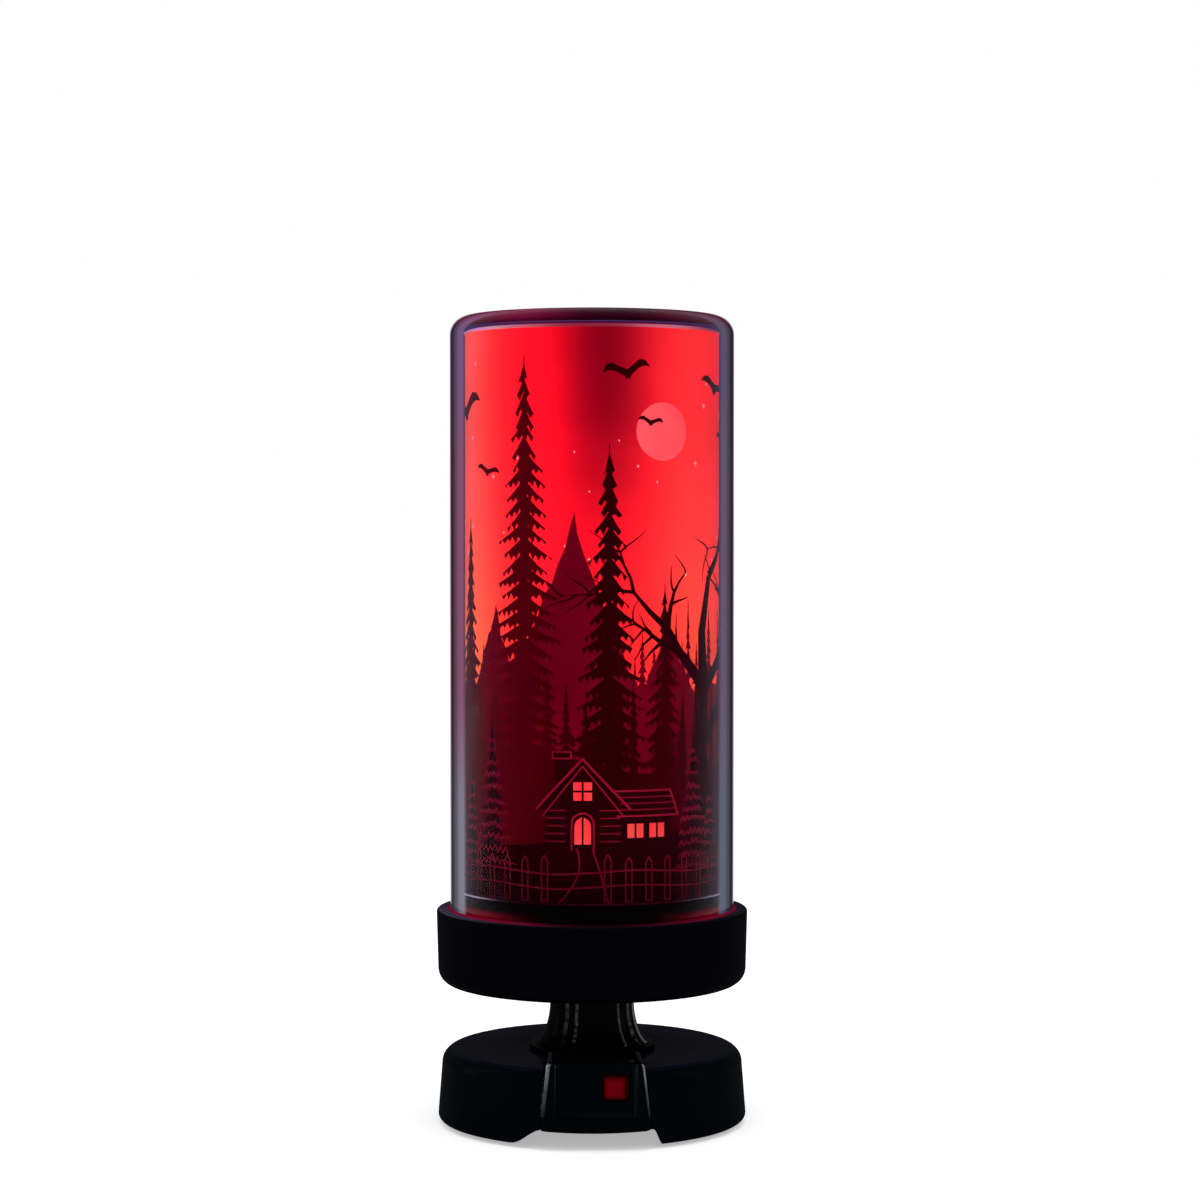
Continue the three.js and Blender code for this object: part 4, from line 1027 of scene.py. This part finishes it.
def bird(u, v, span, tilt, lift):
    """A bird that glides: two swept wings, a slim body and a short fanned tail."""
    right = [(0.0, 0.10), (0.14, 0.12 + lift * 0.5), (0.30, 0.16 + lift), (0.42, 0.12 + lift),
             (0.50, 0.02 + lift * 0.6), (0.38, 0.04 + lift * 0.75), (0.26, 0.03 + lift * 0.6),
             (0.14, 0.0 + lift * 0.2), (0.06, -0.04), (0.045, -0.10), (0.0, -0.08)]
    left = [(-x, y) for x, y in right[1:-1]][::-1]
    turn = math.radians(tilt)
    return [(u + span * (x * math.cos(turn) - y * math.sin(turn)), v + span * (x * math.sin(turn) + y * math.cos(turn)))
            for x, y in right + left]


def stroke(points, width, closed=False):
    """A drawn line as one small outline for each of its stretches."""
    ends = points + points[:1] if closed else points
    made = []
    for a, b in zip(ends, ends[1:]):
        run = Vector(b) - Vector(a)
        if run.length < 1e-6:
            continue
        along = run.normalized() * width / 2
        side = Vector((-along.y, along.x))
        start, end = Vector(a) - along * 0.8, Vector(b) + along * 0.8
        made.append([tuple(start - side), tuple(end - side), tuple(end + side), tuple(start + side)])
    return made


def ridge(base, swell, seed):
    """Top edge of a hill that runs all the way round and closes on itself."""
    half = math.pi * SLEEVE_RADIUS - 0.02
    count = int(2 * half / RIDGE_STEP)
    draw = random.Random(seed)
    waves = [(k, swell / k ** 0.8 * draw.uniform(0.4, 1.0), draw.uniform(0, 6.28)) for k in (1, 2, 3, 5, 8, 13)]
    top = []
    for i in range(count + 1):
        u = -half + 2 * half * i / count
        turn = u / SLEEVE_RADIUS
        top.append((u, base + sum(size * math.sin(k * turn + phase) for k, size, phase in waves)))
    return [(-half, 0.0), (half, 0.0), *top[::-1]]


def height_at(hill, u):
    return min(hill[2:], key=lambda p: abs(p[0] - u))[1]


def crag(u, tip, left, right, foot, draw):
    """A mountain's ragged outline, steeper towards its tip."""
    shape = [(u, tip)]
    for side, reach in ((1, right), (-1, left)):
        slope = []
        for k in range(1, 15):
            t = k / 14
            slope.append((u + side * reach * t ** 1.25 + draw.uniform(-0.5, 0.5) * (t < 1),
                          foot + (tip - foot) * (1 - t) + draw.uniform(-1.3, 1.3) * (t < 1)))
        shape = shape + slope if side == 1 else slope[::-1] + shape
    return shape


def small_firs(hill, half, margin, sink, reaches, rises, gaps, tiers, draw):
    """A row of firs all the way round a hill, their sizes and distances drawn between two limits."""
    shapes = []
    u = -half + margin
    while u < half - margin:
        reach = draw.uniform(*reaches)
        foot = height_at(hill, u) - sink
        shapes += fir(u, foot, foot + draw.uniform(*rises), reach, tiers, draw)
        u += reach * draw.uniform(*gaps)
    return shapes


def star(u, v, size):
    return [(u + size * (1 if k % 2 == 0 else 0.28) * math.cos(math.pi * k / 4),
             v + size * (1 if k % 2 == 0 else 0.28) * math.sin(math.pi * k / 4)) for k in range(8)]


def cabin(u, floor, size):
    """A log cabin seen from its gable end, with a side wing and a chimney; returns dark shapes, lines and panes."""
    half, wall = 7.0 * size, 8.5 * size
    eave, wing, wing_top = floor + wall - 1.2 * size, floor + 6.0 * size, floor + 10.6 * size
    gable = [(u - half - 1.6 * size, eave), (u, floor + 16.5 * size), (u + half + 1.6 * size, eave)]
    wing_roof = [(u + half + 11.4 * size, wing), (u + half + 9.6 * size, wing_top), (u + half - 2.5, wing_top)]
    chimney_top = box(u - 5.5 * size, u - 2.1 * size, floor + 16.6 * size, floor + 17.8 * size)
    dark = [
        box(u - half, u + half, floor, floor + wall),
        gable,
        box(u + half - 0.5, u + half + 10 * size, floor, floor + 6.4 * size),
        [(u + half - 2.0, wing), *wing_roof],
        box(u - 5.0 * size, u - 2.6 * size, floor + wall, floor + 17.5 * size),
        chimney_top,
    ]
    lines = stroke(gable, 0.5)
    lines += stroke([(x * 0.86 + u * 0.14, y - 1.3 * size) for x, y in gable], 0.3)
    for k in range(1, 6):
        y = floor + wall * k / 6
        lines += stroke([(u - half + 0.3, y), (u - 3.1 * size, y)], 0.2)
        lines += stroke([(u + 3.1 * size, y), (u + half - 0.3, y)], 0.2)
    lines += stroke([(u + half - 1.0, wing), *wing_roof], 0.42)
    for k in range(1, 4):
        y = floor + (6.0 + 4.6 * k / 4) * size
        lines += stroke([(u + half - 0.4, y), (u + half + (11.4 - 1.8 * k / 4) * size, y)], 0.2)
    lines += stroke(chimney_top, 0.3, True)
    arch = [(u + x * size, floor + (4.6 + y) * size) for x, y in arc((0, 0), (2, 2), 180, 0, 10)]
    lines += stroke([(u - 2.0 * size, floor), *arch, (u + 2.0 * size, floor)], 0.42)
    panes = [[(u + side * x * size, floor + y * size)
              for x, y in ((0.18, 0.9), (1.5, 0.9), (1.5, 4.2), (1.5 * 0.8, 5.2), (0.18, 5.9))]
             for side in (-1, 1)]
    for dx, dy in ((-0.55, 0.55), (0.55, 0.55), (-0.55, -0.55), (0.55, -0.55)):
        x, y = u + dx * 1.7 * size, floor + (10.6 + dy * 1.7) * size
        panes.append(box(x - 0.75 * size, x + 0.75 * size, y - 0.75 * size, y + 0.75 * size))
    for k in (0, 1):
        x = u + half + (2.6 + 4.2 * k) * size
        for dx in (-0.85, 0.85):
            panes.append(box(x + (dx - 0.65) * size, x + (dx + 0.65) * size, floor + 2.0 * size, floor + 4.6 * size))
    return dark, lines, panes


def sky_print(draw, half):
    moons = [(17.5, 117.0, 7.2), (-92.0, 112.0, 7.0)]
    moon_ink = lit("moon_ink", (1.0, 0.10, 0.05), (1.0, 0.16, 0.07), 110, 3.2)
    decal("print_moon", [arc((u, v), (r, r), 0, 352.5, 47) for u, v, r in moons], 0.01, moon_ink)
    stars = []
    while len(stars) < 46:
        u, v = draw.uniform(-half, half), draw.uniform(78, 139)
        if all(math.hypot(u - a, v - b) > r + 3 for a, b, r in moons):
            stars.append(star(u, v, draw.choice((0.35, 0.45, 0.7))))
    star_ink = lit("star_ink", (1.0, 0.60, 0.25), (1.0, 0.90, 0.35), 200, 2.6)
    decal("print_stars", stars, 0.01, star_ink)


def wood_print(draw, half):
    """Far hills with crags and small firs, then nearer and taller firs with birds above them."""
    far_hill = ridge(52, 5.0, 5)
    far = [far_hill]
    for at, tip, left, right in ((-5, 97, 27, 23), (-27, 74, 16, 14), (19, 70, 15, 17),
                                 (82, 100, 26, 28), (60, 78, 18, 16), (-72, 88, 24, 20)):
        far.append(crag(at, tip, left, right, 38, draw))
    far += small_firs(far_hill, half, 1, 4, (2.2, 3.6), (14, 26), (0.8, 1.9), 9, draw)
    decal("print_far_wood", far, 0.07, lit("far_ink", (0.26, 0.0, 0.010), (0.36, 0.001, 0.016), 60, 1.0))

    mid_hill = ridge(36, 3.5, 11)
    mid = [mid_hill]
    for at, tip, reach, tiers in (
            (-38, 94, 10, 17), (-18, 134, 16, 27), (3.5, 112, 14, 22), (18, 78, 9, 15), (44, 86, 9.5, 16),
            (56, 110, 9.5, 20), (69, 84, 8, 15), (86, 124, 12, 24), (-55, 118, 11, 22), (-71, 88, 8.5, 16),
            (-86, 74, 7, 14)):
        mid += fir(at, height_at(mid_hill, at) - 6, tip, reach, tiers, draw)
    mid += small_firs(mid_hill, half, 2, 5, (3.0, 5.0), (18, 34), (1.0, 2.0), 10, draw)
    for at, v, span, tilt, lift in (
            (-41, 122, 17, 12, 0.10), (-30, 107, 9, -10, 0.05), (8, 131, 12, 8, 0.12), (37, 128, 14, -14, 0.02),
            (43, 116, 8, 10, 0.10), (14, 119, 7, -6, 0.08), (60, 130, 13, 10, 0.08), (-66, 130, 12, -8, 0.1),
            (-80, 118, 8, 12, 0.04), (74, 116, 9, -12, 0.1)):
        mid.append(bird(at, v, span, tilt, lift))
    mid_ink = lit("mid_ink", (0.17, 0.0, 0.003), (0.24, 0.0, 0.006), 60, 1.0, [
        (0.00, (0.35, 0.35, 0.6)), (0.08, WHITE), (0.16, (0.9, 0.9, 0.9)), (0.225, (0.22, 0.2, 0.2)),
        (0.27, (0.16, 0.15, 0.15)), (0.34, (0.45, 0.4, 0.45)), (0.46, (0.40, 0.4, 0.6)), (0.60, (0.2, 0.2, 0.2)),
        (0.75, (0.5, 0.5, 0.5)), (0.88, (0.2, 0.2, 0.2)), (1.00, (0.35, 0.35, 0.6))])
    decal("print_mid_wood", mid, 0.14, mid_ink)


def near_print(draw, half):
    """Bare trees, cabins, small firs drawn in outline, a fence and a path."""
    near = [ridge(17, 2.2, 23)]
    boughs = []
    limb((30.0, 10.0), 1.60, 72.0, 8.0, random.Random(8), 3, boughs)
    limb((-98.0, 10.0), 1.50, 66.0, 7.5, random.Random(29), 3, boughs)
    for shape in boughs:
        if all(0 < y < 138 for _, y in shape):
            near += over_seam(shape)
    lines, panes = [], []
    for dark, drawn, lights in (cabin(-3.0, 14.0, 1.35), cabin(70.0, 13.0, 1.2)):
        near += dark
        lines += drawn
        panes += lights
    for at, foot, tip, reach, tiers in (
            (-28, 8, 45, 7.0, 11), (-37, 4, 33, 5.5, 9), (27, 7, 42, 6.5, 11), (34, 3, 29, 5.0, 8),
            (-62, 6, 44, 7.0, 11), (-78, 6, 36, 6.0, 9), (54, 5, 38, 6.0, 10), (94, 6, 42, 6.5, 10)):
        shapes = fir(at, foot, tip, reach, tiers, draw)
        near += shapes
        for skirt in shapes[1:]:
            lines += stroke(skirt[4:-3], 0.26)

    def off_path(u):
        return not -8 < u < 2

    rail_steps, post_every = 240, 5.2
    rail = [-half + 205 * k / rail_steps for k in range(rail_steps + 1)]
    for v in (4.6, 8.2):
        lines += stroke([(u, v + 0.5 * math.sin(u / 6.0)) for u in rail if -half < u < half and off_path(u)], 0.4)
    u = -half + 1
    while u < half - 1:
        if off_path(u):
            top = 11.0 + draw.uniform(-0.5, 0.5)
            paling = [(u - 0.8, 1.0), (u + 0.8, 1.0), (u + 0.8, top), (u, top + 1.3), (u - 0.8, top)]
            lines += stroke(paling, 0.26, True)
        u += post_every
    for side in (-1, 1):
        path = [(-3.0 + side * (1.9 + 0.018 * (14 - v) ** 2.1) + 1.6 * math.sin(v / 5.0), v)
                for v in [14 - 0.7 * k for k in range(20)]]
        lines += stroke(path, 0.36)
    near_ink = lit("near_ink", (0.030, 0.0, 0.001), (0.045, 0.0, 0.002), 60, 1.0, dim_foot=True)
    line_ink = lit("line_ink", (0.46, 0.004, 0.032), (0.72, 0.010, 0.055), 40, 1.0, dim_foot=True)
    pane_ink = lit("pane_ink", (1.0, 0.02, 0.03), (1.0, 0.07, 0.06), 160, 2.4)
    decal("print_near_ground", near, 0.21, near_ink)
    decal("print_lines", lines, 0.28, line_ink)
    decal("print_panes", panes, 0.28, pane_ink)


def make_print():
    draw = random.Random(41)
    half = math.pi * SLEEVE_RADIUS - 0.5
    for layer in (sky_print, wood_print, near_print):
        layer(draw, half)


# Materials of the CAD parts that keep their own shape

CARRIED = {
    "switch_plunger": matt_black, "tact_switch": matt_black, "control_board": board_green,
    "charge_board": board_green, "battery_cell": cell_foil, "lamp_pipe": brass, "pipe_nut_lower": brass,
    "pipe_nut_upper": brass, "friction_washer": fibre, "led_lead": lead_sheath, "glass_gasket": rubber_black,
    "led_board": white_plastic, **dict.fromkeys([f"led_{i + 1}" for i in range(6)], lamp_lens()),
}


def dress_carried():
    """Gives the CAD parts that are shown their materials; those that aren't listed are steel."""
    for name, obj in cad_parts.items():
        if not obj.hide_render:
            obj.data.materials.clear()
            obj.data.materials.append(CARRIED.get(name, steel))


# Stage

def white_where_seen(nodes, base, seen):
    """Mixes two shaders: the second one for camera, mirrored and refracted rays."""
    path = nodes.add("LightPath").node
    share = path.outputs["Is Camera Ray"]
    for kind in ("Is Glossy Ray", "Is Transmission Ray"):
        share = nodes.add("Math", {0: share, 1: path.outputs[kind]}, operation="ADD", use_clamp=True)
    return nodes.add("MixShader", {0: share, 1: base, 2: seen})


def make_stage():
    world = bpy.data.worlds.new("studio")
    bpy.context.scene.world = world
    world.use_nodes = True
    sky = Nodes(world.node_tree)
    light = sky.tree.nodes["Background"]
    sky.fill(light, {"Color": WHITE, "Strength": 0.7})
    seen = sky.add("Background", {"Color": WHITE, "Strength": 1.0})
    sky.fill(sky.tree.nodes["World Output"], {"Surface": white_where_seen(sky, light.outputs[0], seen)})

    size = 4000
    floor = new_object("floor", [(x, y, 0) for x, y in box(-size, size, -size, size)], [(0, 1, 2, 3)])
    paint = Paint("floor_paint")
    lift = paint.add("Emission", {"Color": WHITE, "Strength": 0.40})
    plain = paint.shader.outputs[0]
    seen = paint.add("AddShader", {0: plain, 1: lift})
    paint.fill(paint.output, {"Surface": white_where_seen(paint, plain, seen)})
    floor.data.materials.append(paint.finish({
        "Base Color": (0.93, 0.93, 0.93), "Roughness": 0.9, "Specular IOR Level": 0.0}))

    # The lamps leave out the glass: seen from behind, its rim would mirror the hard end of one of them
    lit_by_lamps = bpy.data.collections.new("lit_by_lamps")
    lit_by_lamps.objects.link(bpy.data.objects["glass_cylinder_fine"])
    lit_by_lamps.collection_objects[0].light_linking.link_state = "EXCLUDE"
    for name, azimuth, distance, height, width, tall, power in (
            ("softbox_left", -108, 1.0, 0.42, 0.30, 1.1, 1.8),
            ("softbox_right", 88, 1.0, 0.42, 0.30, 1.1, 1.4),
            ("softbox_top", 10, 0.25, 1.25, 0.8, 0.8, 3.2)):
        lamp = bpy.data.lights.new(name, "AREA")
        lamp.shape = "RECTANGLE"
        lamp.size, lamp.size_y = width, tall
        lamp.energy = power
        turn = math.radians(azimuth)
        obj = bpy.data.objects.new(name, lamp)
        obj.location = (distance * math.sin(turn), -distance * math.cos(turn), height)
        aim = Vector((0, 0, 0.1)) - obj.location
        obj.rotation_euler = aim.to_track_quat("-Z", "Y").to_euler()
        bpy.context.scene.collection.objects.link(obj)
        obj.light_linking.receiver_collection = lit_by_lamps


def make_camera():
    distance, height, orbit = 0.751, 0.1535, math.radians(1.3)
    tilt, aside = 1.471, -0.157
    camera = bpy.data.cameras.new("camera")
    camera.lens = 87.6
    camera.sensor_width = 36.0
    obj = bpy.data.objects.new("camera", camera)
    obj.location = (-distance * math.sin(orbit), -distance * math.cos(orbit), height)
    obj.rotation_euler = (math.radians(90 - tilt), 0, math.radians(aside) - orbit)
    bpy.context.scene.collection.objects.link(obj)
    bpy.context.scene.camera = obj
    bpy.context.scene.view_settings.view_transform = "Standard"


make_camera()
make_foot()
make_button()
make_base()
make_neck()
make_head()
make_trims()
make_print()
dress_carried()
make_stage()
